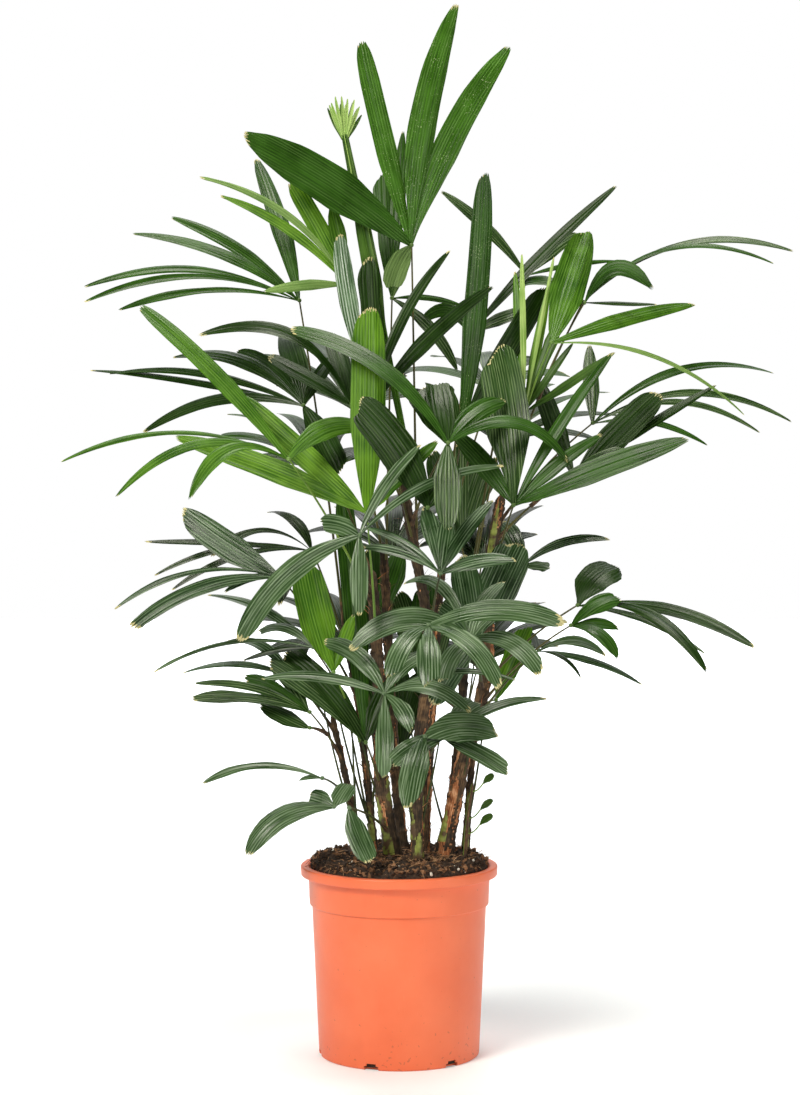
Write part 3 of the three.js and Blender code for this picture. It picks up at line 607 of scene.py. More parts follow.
TIP_LENGTH, TIP_ROWS = 6, np.array([0, 2.5, 4.5, 5.6, 6])  # the end is rounded off over these rows
TIP_FLAT = 0.6  # and would close this far beyond its last row
MOST_RINGS, RING_MARGINS = 40, (4, 8)  # rings with loose fibres keep this far from the soil and the tip
ROOTED = 7  # the cane's foot goes on this far into the soil
DARK_COAT, BROWN_COAT, RUST_COAT, SHEATH_COAT, BARE_COAT = 0, 1, 2, 3, 4
# Broad, pale feet of cut or fresh leaves still clasp the canes and run up to a point:
# cane, then height, turn, length and half the angle that it clasps.
SHEATHS = [
    ("middle", 240, 215, 74, 62), ("middle", 300, 330, 46, 50), ("tall", 240, 285, 34, 48),
    ("tall", 262, 200, 50, 56), ("right", 256, 215, 40, 40), ("right", 604, 250, 70, 40),
    ("inner_left", 250, 250, 44, 60), ("back", 252, 80, 60, 60), ("back_right", 262, 60, 60, 60),
    ("outer_right", 246, 240, 70, 70), ("left", 246, 300, 50, 70), ("inner_right", 262, 200, 56, 60),
]
SHEATH_RISE = 1.3


def clasped(name, z, a):
    """Where a leaf's foot covers the cane, as the share of its height from 1 at the base to 0."""
    left = np.zeros(z.shape)
    for cane, height, turn, length, clasp in SHEATHS:
        if cane == name:
            up = np.clip((z - height) / length, 0, 1)
            off = np.abs((a - math.radians(turn) + math.pi) % (2 * math.pi) - math.pi)
            covered = (z >= height) & (up < 1) & (off < math.radians(clasp) * (1 - up**1.8))
            left = np.where(covered, 1 - 0.9 * up, left)
    return left


def wrapped_cane(heap, name, cane, peeled_from, dice):
    way = cane[1]
    tip = way[-1][2]
    heights = np.append(np.arange(SOIL_TOP - ROOTED, tip - TIP_LENGTH, CANE_ROW),
                        tip - TIP_LENGTH + TIP_ROWS)
    angles = np.linspace(0, 2 * math.pi, CANE_SIDES, endpoint=False)
    z, a = np.meshgrid(heights, angles, indexing="ij")
    edges = SOIL_TOP - ROOTED - 10 + np.cumsum([dice.uniform(*RING_SPACING) for _ in range(MOST_RINGS)])
    phases = [dice.uniform(0, 6.28) for _ in edges]
    ring = np.searchsorted(edges, z)
    phase = np.array([*phases, 0])[ring]
    ragged = z
    for rise, number, shift in RAGGED:
        ragged = ragged + rise * np.sin(number * a + shift * phase)
    ring = np.clip(np.searchsorted(edges, ragged), 1, len(edges) - 1)
    rise = (ragged - edges[ring - 1]) / (edges[ring] - edges[ring - 1])
    crossed = np.sin(WEAVE * a + WEAVE_RISE * z) * np.sin(WEAVE * a - WEAVE_RISE * z + phase)
    strands = np.sin(STRANDS * a + 3 * np.sin(0.05 * z))
    rough = np.array([dice.gauss(0, 1) for _ in range(z.size)]).reshape(z.shape)
    cloth = FIBRE_RELIEF * (crossed + STRAND_RELIEF * strands)
    relief = RING_LIP * np.clip(rise, 0, 1) ** 3 + cloth + FUZZ * rough
    p, q, s = (dice.uniform(0, 6.28) for _ in range(3))
    bare = np.sin(2 * a + 0.014 * z + p) + 0.7 * np.sin(5 * a - 0.03 * z + q) + 0.3 * rough
    bare = bare + 0.7 * np.sin(0.07 * z + 2 * np.sin(a) + s) > peeled_from + PEEL_FADE * (z - SOIL_TOP)
    relief = relief - PEEL_DEPTH * bare
    sheath = clasped(name, z, a)
    relief = np.where(sheath > 0, SHEATH_RISE * sheath + 0.12 * np.sin(14 * a), relief)
    rounding = np.sqrt(np.clip((tip + TIP_FLAT - z) / (TIP_LENGTH + TIP_FLAT), 0, 1))
    radii = (cane_radius(cane, z) * CORE + relief) * rounding
    coat_of = np.array([dice.choice((DARK_COAT, DARK_COAT, BROWN_COAT)) for _ in range(len(edges) + 1)])
    coats = np.where(sheath > 0, SHEATH_COAT, np.where(bare, RUST_COAT, coat_of[ring]))
    tube(heap, cane_axis(way, heights), *alike(len(heights)), radii, coats)
    return edges[(edges > SOIL_TOP + RING_MARGINS[0]) & (edges < tip - RING_MARGINS[1])]


canes = Heap()
dice = random.Random(11)
ring_edges = {name: wrapped_cane(canes, name, cane, PEELED.get(name, NEARLY_WHOLE), dice)
              for name, cane in CANES.items()}
print("leaf rings:", sum(len(edges) for edges in ring_edges.values()))


# %% Loose fibres
FIBRE_THICKNESS = 0.45  # real ones are a third of that, drawn coarser so that they show
FIBRE_LENGTHS = (8, 24)
FIBRE_BEND, FIBRE_TAPER = 0.25, 0.75
FIBRE_ROWS, FIBRE_SIDES = 6, 3


def strand(heap, start, way, droop, length, thickness, coat, dice):
    """One tapered fibre that leaves its start in a curve."""
    shares = np.linspace(0, 1, FIBRE_ROWS)
    bend = np.array([dice.uniform(-1, 1) for _ in range(3)]) * FIBRE_BEND
    centres = start + length * (way * shares[:, None] + (bend - droop * UP) * shares[:, None] ** 2)
    radii = np.repeat((thickness * (1 - FIBRE_TAPER * shares))[:, None], FIBRE_SIDES, axis=1)
    thread(heap, centres, radii, coat, coat, aside=(0.3, 0.9, 0.31))


for name, (radii, way) in CANES.items():
    for edge in ring_edges[name]:
        for _ in range(dice.choice((2, 3, 4, 5))):
            turn = dice.uniform(0, 2 * math.pi)
            outward = np.array([math.cos(turn), math.sin(turn), 0])
            height = np.array(edge - dice.uniform(0, 6))
            start = cane_axis(way, height) + outward * cane_radius((radii, way), height)
            up_and_out = unit(outward * dice.uniform(0.25, 0.8) + UP * dice.uniform(0.6, 1.1))
            strand(canes, start, up_and_out, dice.uniform(0.0, 0.5), dice.uniform(*FIBRE_LENGTHS),
                   FIBRE_THICKNESS, dice.choice((DARK_COAT, BROWN_COAT, BROWN_COAT, RUST_COAT)), dice)

# %% Bare stalks
# Old stalks that have lost their fans stand between the canes: cane, height, then the end's
# place as x, y and height.
BARE_STALKS = [
    ("inner_left", 262, (-82, 10, 452)), ("inner_left", 250, (-66, 24, 436)),
    ("left", 262, (-92, 12, 420)), ("left", 270, (-58, 6, 400)),
    ("middle", 262, (-52, -8, 410)), ("middle", 280, (-38, 40, 430)),
    ("inner_left", 280, (-24, 30, 420)), ("tall", 262, (50, -6, 390)), ("tall", 250, (4, -24, 360)),
    ("inner_right", 262, (14, 40, 400)), ("right", 262, (40, 30, 330)), ("right", 270, (96, 4, 420)),
    ("outer_right", 270, (104, 30, 400)), ("back", 270, (-30, 110, 470)),
    ("back_right", 270, (96, 110, 480)),
]
BARE_RADIUS, BARE_SAG = 1.3, 0.05
BARE_ROWS, BARE_SIDES = 12, 6

for name, height, end in BARE_STALKS:
    start, end = cane_axis(CANES[name][1], np.array(float(height))), np.array(end, float)
    shares = np.linspace(0, 1, BARE_ROWS)
    way = arch_points(start, end, shares, -BARE_SAG, dice.uniform(-0.04, 0.04))
    radii = np.repeat((BARE_RADIUS * (1.25 - 0.5 * shares))[:, None], BARE_SIDES, axis=1)
    thread(canes, way, radii, BARE_COAT, BARE_COAT)

# %% [markdown]
# ### Palm fibre and leaf bases
#
# The fibre is dry, matt and brown, from dark umber to rust where the outer layer has peeled. Its
# strands run up the cane a millimetre apart. A leaf base keeps some green and has a waxy skin.


# %% Fibre materials
def palm_fibre(name, dark, middle, light):
    material, tree = blank(name)
    chart = node(tree, "ShaderNodeTexCoord").outputs["UV"]
    place = node(tree, "ShaderNodeTexCoord").outputs["Object"]
    strands = drawn_noise(tree, chart, 1.1, 14, 3)
    mixed = reckon(tree, "MULTIPLY", reckon(tree, "ADD", strands, noise(tree, place, 9, 4)), 0.5)
    tint = ramp(tree, mixed, [(0.34, dark), (0.5, middle), (0.66, light)])
    finish_surface(tree, {"Base Color": tint, "Roughness": 0.88, "Normal": bumps(tree, strands, 0.7, 0.8)})
    return material


def waxy_stub():
    material, tree = blank("waxy_leaf_base")
    place = node(tree, "ShaderNodeTexCoord").outputs["Object"]
    clouds = noise(tree, place, 11, 4)
    tint = ramp(tree, clouds, [(0.42, "#4E3820"), (0.52, "#747C32"), (0.72, "#9CA44E")])
    finish_surface(tree, {"Base Color": tint, "Roughness": 0.5, "Normal": bumps(tree, clouds, 0.4, 1)})
    return material


DARK_FIBRE = palm_fibre("palm_fibre_umber", "#17100A", "#382A1C", "#5C4832")
BROWN_FIBRE = palm_fibre("palm_fibre_brown", "#22170E", "#4E3A26", "#7E6042")
RUST_FIBRE = palm_fibre("palm_fibre_rust", "#52281A", "#A8683E", "#DCAA80")
WAXY_STUB = waxy_stub()
BARE_STALK = palm_fibre("bare_stalk", "#1C2410", "#36401E", "#5A5A32")

cane_piece = canes.piece("canes", [DARK_FIBRE, BROWN_FIBRE, RUST_FIBRE, WAXY_STUB, BARE_STALK], crease=60)
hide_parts(*(f"cane_{name}" for name in CANES))
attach(cane_piece, "root")

# %% [markdown]
# ## The fronds
#
# A frond is one stalk and one fan. Each row below says where its stalk leaves the cane, where its
# leaflets meet (hub), which way the fan's upper side looks (heading and tilt in degrees), how wide
# a leaflet is and how high it arches. A finger is (angle in the fan, reach, width, arch).
#
# The rows repeat the table that grew the solids, and are no model of how to write one. Another
# program worked out most of their hubs, angles, reaches and arches from a set of points. Listed one
# by one were frond_40 to frond_47, a few more fingers, and every cane, facing, width and age.

# %% Fans of the crown
FRONDS = {
    "frond_01": dict(cane="tall", leaves_at=600, hub=(15, 0, 983), faces=(-75, 8),
        blade=30, arch=0.03, age="ripe",
        fingers=[(148, 245, 54, 0.04), (102, 260, 27, -0.03), (77, 315, 37, 0.23),
                 (62, 290, 34, 0.11), (-116, 65, 28, 0.16)]),
    "spear_01": dict(cane="tall", leaves_at=738, hub=(-66, 10, 1117), faces=(-90, 0),
        blade=6, arch=0, age="young", stalk=(8, 5), stalk_arch=0,
        fingers=[(116, 43), (106, 47), (96, 50), (86, 50), (76, 47), (66, 43)]),
    "frond_02": dict(cane="tall", leaves_at=640, hub=(57, -120, 742), faces=(-70, 40),
        blade=28, arch=0.1, age="ripe",
        fingers=[(132, 240, 28, 0.14), (102, 95, 38), (83, 100, 36), (-12, 150, 22, 0.25),
                 (-104, 135, 34, 0.01), (37, 115, 26)]),
    "frond_03": dict(cane="middle", leaves_at=500, hub=(-38, -100, 660), faces=(-100, 8),
        blade=30, arch=0.03, age="young",
        fingers=[(91, 250, 38, -0.04), (159, 255, 28, 0.03), (139, 215, 28, 0.01), (46, 120, 26),
                 (44, 55, 18)]),
    "frond_04": dict(cane="middle", leaves_at=540, hub=(-128, -130, 723), faces=(-65, 30),
        blade=24, arch=0.14, age="young",
        fingers=[(125, 255, 26, 0.05), (-179, 275, 14, 0.12), (-167, 225, 16, 0.18),
                 (-157, 145, 20, 0.28), (23, 130, 28, 0.15), (-177, 165, 8)]),
    "frond_05": dict(cane="right", leaves_at=560, hub=(135, -80, 669), faces=(-115, 20),
        blade=20, arch=0.05, age="ripe",
        fingers=[(105, 215, 56, 0.21), (22, 225, 30, 0.02), (63, 220, 18), (45, 135, 20),
                 (135, 135, 26)]),
    "frond_06": dict(cane="tall", leaves_at=600, hub=(-30, -25, 793), faces=(-84, 6),
        blade=26, arch=0.02, age="ripe",
        fingers=[(101, 210, 24, -0.14), (92, 180, 36), (63, 210, 14, 0.15), (44, 205, 20, 0.06)]),
    "frond_07": dict(cane="inner_left", leaves_at=350, hub=(-78, -60, 470), faces=(-80, 10),
        blade=30, arch=0.02, age="young",
        fingers=[(105, 135, 44, -0.09), (69, 75, 18)]),
    "frond_08": dict(cane="middle", leaves_at=580, hub=(-117, 20, 790), faces=(-118, 45),
        blade=26, arch=0.08, age="ripe",
        fingers=[(158, 255, 22, 0.11), (168, 365, 12, 0.02), (168, 330, 14, 0.06), (145, 175, 26),
                 (-168, 220, 22, 0.12), (122, 170, 34, 0.08), (79, 100, 26), (-50, 145, 34, 0.02)]),
    "frond_09": dict(cane="tall", leaves_at=655, hub=(-57, -20, 790), faces=(-70, 40),
        blade=30, arch=0.06, age="ripe",
        fingers=[(139, 120, 40, 0.02), (148, 205, 22, 0.25), (91, 120, 28), (40, 140, 20)]),
}

# %% Fans of the upper right and left
FRONDS |= {
    "frond_10": dict(cane="right", leaves_at=672, hub=(227, 60, 919), faces=(-115, 45),
        blade=18, arch=0.19, age="ripe",
        fingers=[(18, 265, 16, 0.16), (14, 240, 11, 0.19), (-175, 125, 20, 0.27), (-5, 100, 8, 0)]),
    "frond_11": dict(cane="right", leaves_at=660, hub=(183, -20, 864), faces=(-65, 35),
        blade=24, arch=0.05, age="young",
        fingers=[(17, 240, 22, 0.02), (-24, 260, 12, 0.12), (59, 220, 46, 0.01)]),
    "frond_12": dict(cane="right", leaves_at=640, hub=(242, 90, 770), faces=(-74, 44),
        blade=17, arch=0.12, age="ripe",
        fingers=[(77, 150, 22, 0), (19, 295, 14, 0.13), (1, 275, 14, 0.14), (-4, 225, 12, 0.15),
                 (-15, 150, 10, 0.11)]),
    "frond_13": dict(cane="right", leaves_at=620, hub=(210, -10, 706), faces=(-102, 35),
        blade=24, arch=0.05, age="ripe",
        fingers=[(111, 155, 26, -0.01), (30, 75, 18, 0.11), (39, 215, 14, 0.01)]),
    "frond_14": dict(cane="inner_left", leaves_at=505, hub=(-123, 50, 920), faces=(-65, 35),
        blade=20, arch=0.12, age="ripe",
        fingers=[(91, 235, 30, 0.07), (138, 190, 20, 0.08), (154, 220, 20, 0.09),
                 (178, 275, 14, 0.11), (-177, 280, 12, 0.11), (-174, 240, 13, 0.08)]),
    "frond_15": dict(cane="tall", leaves_at=690, hub=(-63, 25, 937), faces=(-95, 4),
        blade=17, arch=0.04, age="young",
        fingers=[(144, 230, 14, 0.14), (145, 195, 20, 0.09), (119, 155, 24, 0.03), (-174, 105, 14),
                 (102, 105, 22)]),
}

# %% Low fans in front, and to the right
FRONDS |= {
    "frond_16": dict(cane="tall", leaves_at=330, hub=(51, -190, 406), faces=(-80, 45),
        blade=34, arch=0.14, age="old",
        fingers=[(-38, 90, 26, 0.05), (-149, 80, 40, 0.11), (23, 145, 14, 0.1), (-141, 55, 24),
                 (48, 75, 28)]),
    "frond_17": dict(cane="tall", leaves_at=440, hub=(33, -220, 536), faces=(-80, 50),
        blade=28, arch=0.17, age="old",
        fingers=[(0, 160, 32, 0.11), (-98, 105, 28), (-58, 125, 28), (-123, 105, 24)]),
    "frond_18": dict(cane="middle", leaves_at=560, hub=(-45, -180, 636), faces=(-78, 15),
        blade=22, arch=0.1, age="old",
        fingers=[(54, 135, 14, 0.1), (25, 195, 12, 0.11), (-93, 95, 22, 0), (-139, 190, 26, 0.15),
                 (163, 50, 24)]),
    "frond_19": dict(cane="tall", leaves_at=500, hub=(47, -190, 593), faces=(-100, 35),
        blade=22, arch=0.08, age="old",
        fingers=[(107, 100, 24), (88, 85, 22), (63, 115, 20), (160, 105, 14, 0.09),
                 (147, 115, 12, 0.09), (12, 90, 22)]),
    "frond_20": dict(cane="right", leaves_at=450, hub=(214, -40, 549), faces=(-112, 50),
        blade=20, arch=0.08, age="ripe",
        fingers=[(62, 80, 54, 0.18), (-16, 240, 18, 0.09), (-31, 215, 18, 0.16),
                 (-24, 190, 10, 0.07)]),
    "frond_21": dict(cane="right", leaves_at=420, hub=(201, -110, 529), faces=(-75, 50),
        blade=18, arch=0.1, age="ripe",
        fingers=[(-55, 75, 20, 0.22), (21, 75, 26, 0.11), (-8, 60, 18)]),
    "frond_22": dict(cane="right", leaves_at=400, hub=(168, -30, 494), faces=(-65, 50),
        blade=18, arch=0.2, age="old",
        fingers=[(-10, 90, 20, 0.19), (-29, 135, 15, 0.07), (-55, 65, 8), (73, 45, 12, 0)]),
    "frond_23": dict(cane="right", leaves_at=440, hub=(81, -170, 517), faces=(-110, 40),
        blade=24, arch=0.2, age="old",
        fingers=[(-28, 110, 26, 0.2), (-163, 140, 34, 0.22), (-106, 70, 26, 0.24), (137, 175, 16),
                 (27, 95, 24), (74, 90, 22)]),
    "frond_24": dict(cane="right", leaves_at=470, hub=(90, -95, 511), faces=(-70, 20),
        blade=30, arch=0.05, age="old",
        fingers=[(59, 145, 52, 0.02), (92, 110, 42), (133, 105, 28), (-122, 100, 30)]),
    "frond_25": dict(cane="right", leaves_at=520, hub=(150, 20, 594), faces=(-115, 40),
        blade=18, arch=0.16, age="old",
        fingers=[(22, 115, 16, 0.13), (-3, 40, 22, 0.06), (124, 85, 24)]),
    "frond_26": dict(cane="middle", leaves_at=380, hub=(-17, -170, 455), faces=(-105, 40),
        blade=22, arch=0.16, age="old",
        fingers=[(-13, 110, 22, 0.18), (-79, 125, 22, -0.15), (174, 155, 16, 0.07),
                 (8, 155, 10, 0.12), (-53, 70, 22), (141, 115, 24), (54, 75, 24)]),
}

# %% Low fans to the left, and slim ones between the canes
FRONDS |= {
    "frond_27": dict(cane="inner_left", leaves_at=470, hub=(-108, 60, 612), faces=(-65, 55),
        blade=18, arch=0.12, age="old",
        fingers=[(114, 90, 24, 0.23), (-174, 140, 16, 0.22), (174, 215, 13, 0.02),
                 (-168, 225, 10, 0.09), (-160, 220, 11, 0.09), (-126, 140, 18)]),
    "frond_28": dict(cane="inner_left", leaves_at=430, hub=(-141, -80, 585), faces=(-100, 30),
        blade=22, arch=0.12, age="old",
        fingers=[(146, 165, 36, -0.03), (-157, 190, 30, 0.11), (-164, 200, 10, 0.13),
                 (-161, 70, 16)]),
    "frond_29": dict(cane="inner_left", leaves_at=385, hub=(-104, -20, 497), faces=(-112, 50),
        blade=20, arch=0.08, age="old",
        fingers=[(166, 90, 24, 0.18), (-165, 205, 14, 0.11), (-163, 90, 16, 0.05), (153, 200, 16),
                 (110, 95, 22)]),
    "frond_30": dict(cane="middle", leaves_at=310, hub=(-40, -40, 384), faces=(-80, 30),
        blade=30, arch=0.05, age="ripe",
        fingers=[(126, 155, 44, 0.09), (136, 160, 26), (92, 330, 30), (59, 95, 26)]),
    "frond_31": dict(cane="left", leaves_at=385, hub=(-132, 40, 456), faces=(-115, 50),
        blade=18, arch=0.14, age="old",
        fingers=[(-179, 160, 14, 0.1), (153, 135, 16), (-152, 55, 14), (90, 80, 20)]),
    "frond_32": dict(cane="left", leaves_at=355, hub=(-108, -24, 419), faces=(-75, 45),
        blade=22, arch=0.07, age="ripe",
        fingers=[(170, 145, 26, 0.07), (143, 95, 24, 0.09), (160, 145, 12, 0.09), (114, 90, 20)]),
    "frond_33": dict(cane="left", leaves_at=300, hub=(-91, -80, 346), faces=(-105, 45),
        blade=22, arch=0.13, age="old",
        fingers=[(-174, 150, 16, 0.13), (-169, 30, 12)]),
    "frond_34": dict(cane="middle", leaves_at=268, hub=(-59, -90, 312), faces=(-80, 30),
        blade=24, arch=0.06, age="old",
        fingers=[(-73, 75, 30, -0.07)]),
    "frond_35": dict(cane="back", leaves_at=560, hub=(-9, 80, 925), faces=(-100, 15),
        blade=18, arch=0.04, age="ripe",
        fingers=[(97, 175, 30, -0.15), (89, 225, 20), (-7, 90, 8, 0.06), (-48, 130, 16, 0.12),
                 (76, 75, 26)]),
    "frond_36": dict(cane="inner_right", leaves_at=560, hub=(76, 10, 752), faces=(-65, 5),
        blade=30, arch=0.02, age="ripe",
        fingers=[(82, 335, 34, -0.15), (130, 60, 30), (58, 225, 32)]),
    "frond_37": dict(cane="inner_right", leaves_at=640, hub=(88, 90, 882), faces=(-115, 20),
        blade=20, arch=0.05, age="ripe",
        fingers=[(49, 260, 18, 0.03), (171, 75, 20, 0.34), (20, 90, 18)]),
    "frond_38": dict(cane="back_right", leaves_at=545, hub=(161, 120, 957), faces=(-65, 30),
        blade=18, arch=0.05, age="ripe",
        fingers=[(126, 155, 20, 0.07), (37, 120, 20), (12, 145, 9, 0.03)]),
    "frond_39": dict(cane="right", leaves_at=655, hub=(153, 30, 782), faces=(-105, 10),
        blade=15, arch=0.01, age="young",
        fingers=[(91, 195, 8), (96, 180, 13), (81, 165, 20), (80, 195, 8), (71, 130, 20),
                 (55, 105, 10), (29, 140, 12, -0.01)]),
}

# %% Fans at the back
FRONDS |= {
    "frond_40": dict(cane="back", leaves_at=585, hub=(-60, 170, 790), faces=(-70, 62),
        blade=28, arch=0.1, age="ripe",
        fingers=[(15, 140), (42, 190), (68, 215), (92, 215), (116, 180), (142, 110)]),
    "frond_41": dict(cane="back_right", leaves_at=530, hub=(130, 185, 745), faces=(-112, 66),
        blade=28, arch=0.12, age="ripe",
        fingers=[(5, 130), (32, 170), (60, 200), (88, 210), (114, 190), (142, 140)]),
    "frond_42": dict(cane="back", leaves_at=500, hub=(-96, 140, 705), faces=(-55, 64),
        blade=26, arch=0.13, age="ripe",
        fingers=[(25, 130), (52, 170), (78, 195), (104, 190), (130, 150), (158, 105)]),
    "frond_43": dict(cane="back_right", leaves_at=450, hub=(105, 150, 590), faces=(-122, 62),
        blade=26, arch=0.14, age="old",
        fingers=[(64, 95), (86, 160), (110, 185), (135, 165), (160, 130)]),
    "frond_44": dict(cane="back", leaves_at=400, hub=(-10, 200, 600), faces=(-95, 66),
        blade=28, arch=0.14, age="old",
        fingers=[(8, 130), (36, 160), (64, 185), (92, 195), (120, 180), (150, 145), (178, 110)]),
    "frond_45": dict(cane="back", leaves_at=330, hub=(-60, 135, 470), faces=(-60, 60),
        blade=26, arch=0.15, age="old",
        fingers=[(20, 120), (48, 145), (78, 165), (108, 165), (138, 150), (168, 120)]),
    "frond_46": dict(cane="back_right", leaves_at=335, hub=(100, 150, 460), faces=(-120, 60),
        blade=26, arch=0.15, age="old",
        fingers=[(30, 110), (54, 140), (80, 160), (106, 160), (134, 130), (164, 110)]),
    "frond_47": dict(cane="inner_right", leaves_at=600, hub=(120, 190, 815), faces=(-85, 70),
        blade=26, arch=0.1, age="ripe",
        fingers=[(30, 130), (58, 160), (86, 170), (114, 165), (144, 140)]),
}

# %% Small upright fans inside the crown
FRONDS |= {
    "inner_1": dict(joins="frond_45", hub=(-35, 150, 494), faces=(-85, 15),
        blade=28, arch=0.02, age="ripe",
        fingers=[(106, 125, 34), (89, 130, 40), (71, 130, 38)]),
    "inner_2": dict(joins="frond_46", hub=(34, 165, 429), faces=(-95, 15),
        blade=28, arch=0.02, age="ripe",
        fingers=[(108, 140, 38), (91, 150, 42), (75, 135, 38)]),
    "inner_3": dict(joins="frond_45", hub=(1, 150, 351), faces=(-85, 15),
        blade=28, arch=0.02, age="ripe",
        fingers=[(115, 110, 38), (92, 120, 42), (72, 115, 38)]),
    "inner_4": dict(joins="frond_43", hub=(80, 160, 615), faces=(-95, 15),
        blade=28, arch=0.02, age="ripe",
        fingers=[(108, 135, 36), (91, 140, 40), (73, 130, 34)]),
    "inner_5": dict(joins="frond_02", hub=(33, -150, 667), faces=(-92, 10),
        blade=34, arch=0.02, age="ripe",
        fingers=[(124, 160, 46, 0.1), (55, 55, 26)]),
    "inner_6": dict(joins="frond_32", hub=(-108, -24, 400), faces=(-75, 45),
        blade=24, arch=0.06, age="ripe",
        fingers=[(146, 70, 26, 0)]),
    "inner_7": dict(joins="frond_33", hub=(-77, -80, 312), faces=(-105, 45),
        blade=24, arch=0.06, age="old",
        fingers=[(-140, 120, 34, 0.2), (71, 40, 28), (159, 40, 26)]),
    "inner_8": dict(joins="frond_46", hub=(120, 60, 426), faces=(-95, 10),
        blade=24, arch=0.02, age="young",
        fingers=[(67, 105, 28)]),
    "inner_9": dict(joins="frond_16", hub=(29, -205, 409), faces=(-80, 45),
        blade=24, arch=0.06, age="old",
        fingers=[(1, 90, 44, 0.12), (-108, 110, 32, 0.11)]),
    "inner_10": dict(joins="frond_13", hub=(213, 0, 702), faces=(-102, 20),
        blade=24, arch=0.06, age="ripe",
        fingers=[(48, 150, 38, 0.01)]),
    "inner_11": dict(joins="frond_10", hub=(228, 50, 917), faces=(-115, 20),
        blade=20, arch=0.06, age="ripe",
        fingers=[(8, 90, 22, 0.41)]),
}
print("fans:", len(FRONDS), "with", sum(len(f["fingers"]) for f in FRONDS.values()), "leaflets")

# %% [markdown]
# ## Finding each leaflet's place
#
# When the solids grew, a leaflet that would have met its neighbour was swung aside, shortened, or
# left out, in the order of the tries below. Which try it took can be read off the solid: its tip
# has a corner at just that place. This is quicker and surer than testing for contact again.

# %% The same tries as in the solids
LEAFLET_TRIES = [  # swing out of the fan, swing in the fan, length
    (0, 0, 1),
    (5, 0, 1), (-5, 0, 1), (10, 0, 1), (-10, 0, 1),
    (16, 0, 1), (-16, 0, 1), (23, 0, 1), (-23, 0, 1),
    (0, 6, 0.96), (0, -6, 0.96), (12, 6, 0.96), (-12, -6, 0.96), (12, -6, 0.96), (-12, 6, 0.96),
    (32, 0, 0.95), (-32, 0, 0.95),
    (0, 0, 0.78), (12, 0, 0.78), (-12, 0, 0.78), (24, 8, 0.78), (-24, -8, 0.78),
    (0, 0, 0.58), (14, 0, 0.58), (-14, 0, 0.58), (28, 0, 0.58), (-28, 0, 0.58),
]
STALK_TRIES = [  # sideways bow, shift up the cane
    (0, 0), (0.05, 0), (-0.05, 0), (0.1, 0), (-0.1, 0), (0, 18), (0.06, 18), (-0.06, 18),
    (0, -18), (0.06, -18), (-0.06, -18), (0.16, 0), (-0.16, 0), (0.12, 36), (-0.12, 36),
    (0, 36), (0, -36), (0.2, -30), (-0.2, -30), (0.22, 30), (-0.22, 30),
]
TOUCH = 0.05  # how near a solid's corner has to be to count as found


def corners_of(name):
    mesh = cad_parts[name].data
    flat = np.zeros(len(mesh.vertices) * 3, np.float32)
    mesh.vertices.foreach_get("co", flat)
    return flat.reshape(-1, 3) / MM


def miss(points, cloud):
    """How far each point is from the nearest corner of a solid."""
    return np.linalg.norm(points[:, None] - cloud[None], axis=-1).min(axis=1)


# %% The rule of a fan
LONG_OUTLINE = [(0, 0.14), (0.2, 0.56), (0.48, 1), (0.8, 0.88), (1, 0.34)]
SHORT_OUTLINE = [(0, 0.14), (0.34, 0.86), (0.76, 0.92), (1, 0.34)]
SHORT_REACH = 125
ROOT_WIDTH = 2
FAN_SHARE = 0.97  # of the angle to the next leaflet, which a leaflet may fill
THICKNESS, THICKNESS_RATIO = 2.5, 0.0105


def fan_frame(heading, tilt):
    h, t = math.radians(heading), math.radians(tilt)
    face = np.array([math.cos(t) * math.cos(h), math.cos(t) * math.sin(h), math.sin(t)])
    level = np.array([-math.sin(h), math.cos(h), 0])
    return face, level, np.cross(face, level)


def leaflet_way(fan, angle, swing):
    face, level, rise = fan
    a, out = math.radians(angle), math.radians(swing)
    return (level * math.cos(a) + rise * math.sin(a)) * math.cos(out) + face * math.sin(out)


def room_beside(fingers, angle):
    """The angle to the nearest other finger of the fan, in radians."""
    apart = [min(abs(f[0] - angle) % 360, 360 - abs(f[0] - angle) % 360) for f in fingers]
    return math.radians(min([90, *(gap for gap in apart if gap > 0)]))


def outline_width(share, reach, width, room):
    outline = SHORT_OUTLINE if reach < SHORT_REACH else LONG_OUTLINE
    full = width * smooth_through([s for s, _ in outline], [w for _, w in outline], share)
    return np.maximum(ROOT_WIDTH, np.minimum(full, room * FAN_SHARE * reach * share))


def place_leaflets(frond, fan, hub, cloud):
    """The number, tip, width, room and arch of every leaflet that its solid has."""
    found = []
    for number, (angle, reach, *rest) in enumerate(frond["fingers"]):
        width, arch = [*rest, *(frond["blade"], frond["arch"])[len(rest):]]
        room = room_beside(frond["fingers"], angle)
        best = (TOUCH, None)
        for out, turn, length in LEAFLET_TRIES:
            tip = hub + leaflet_way(fan, angle + turn, out) * reach * length
            end, left, over = arch_frame(hub, tip, np.array(1.0), arch, 0, fan[0])
            half = outline_width(np.array(1.0), reach * length, width, room) / 2
            thick = max(THICKNESS, THICKNESS_RATIO * reach * length)
            off = miss(np.stack([end + left * half, end - left * half, end - over * thick]), cloud).min()
            best = min(best, (off, tuple(tip)), key=lambda pair: pair[0])
        if best[1]:
            found.append((number, np.array(best[1]), width, room, arch))
    return found


# %% The rule of a stalk
STALK_ARCH, STALK_FORK, STALK_RADII = 0.05, 0.5, (3.0, 1.7)
STALK_ACROSS = np.array([0, 1, 0.2])
BELOW_TIP = 8


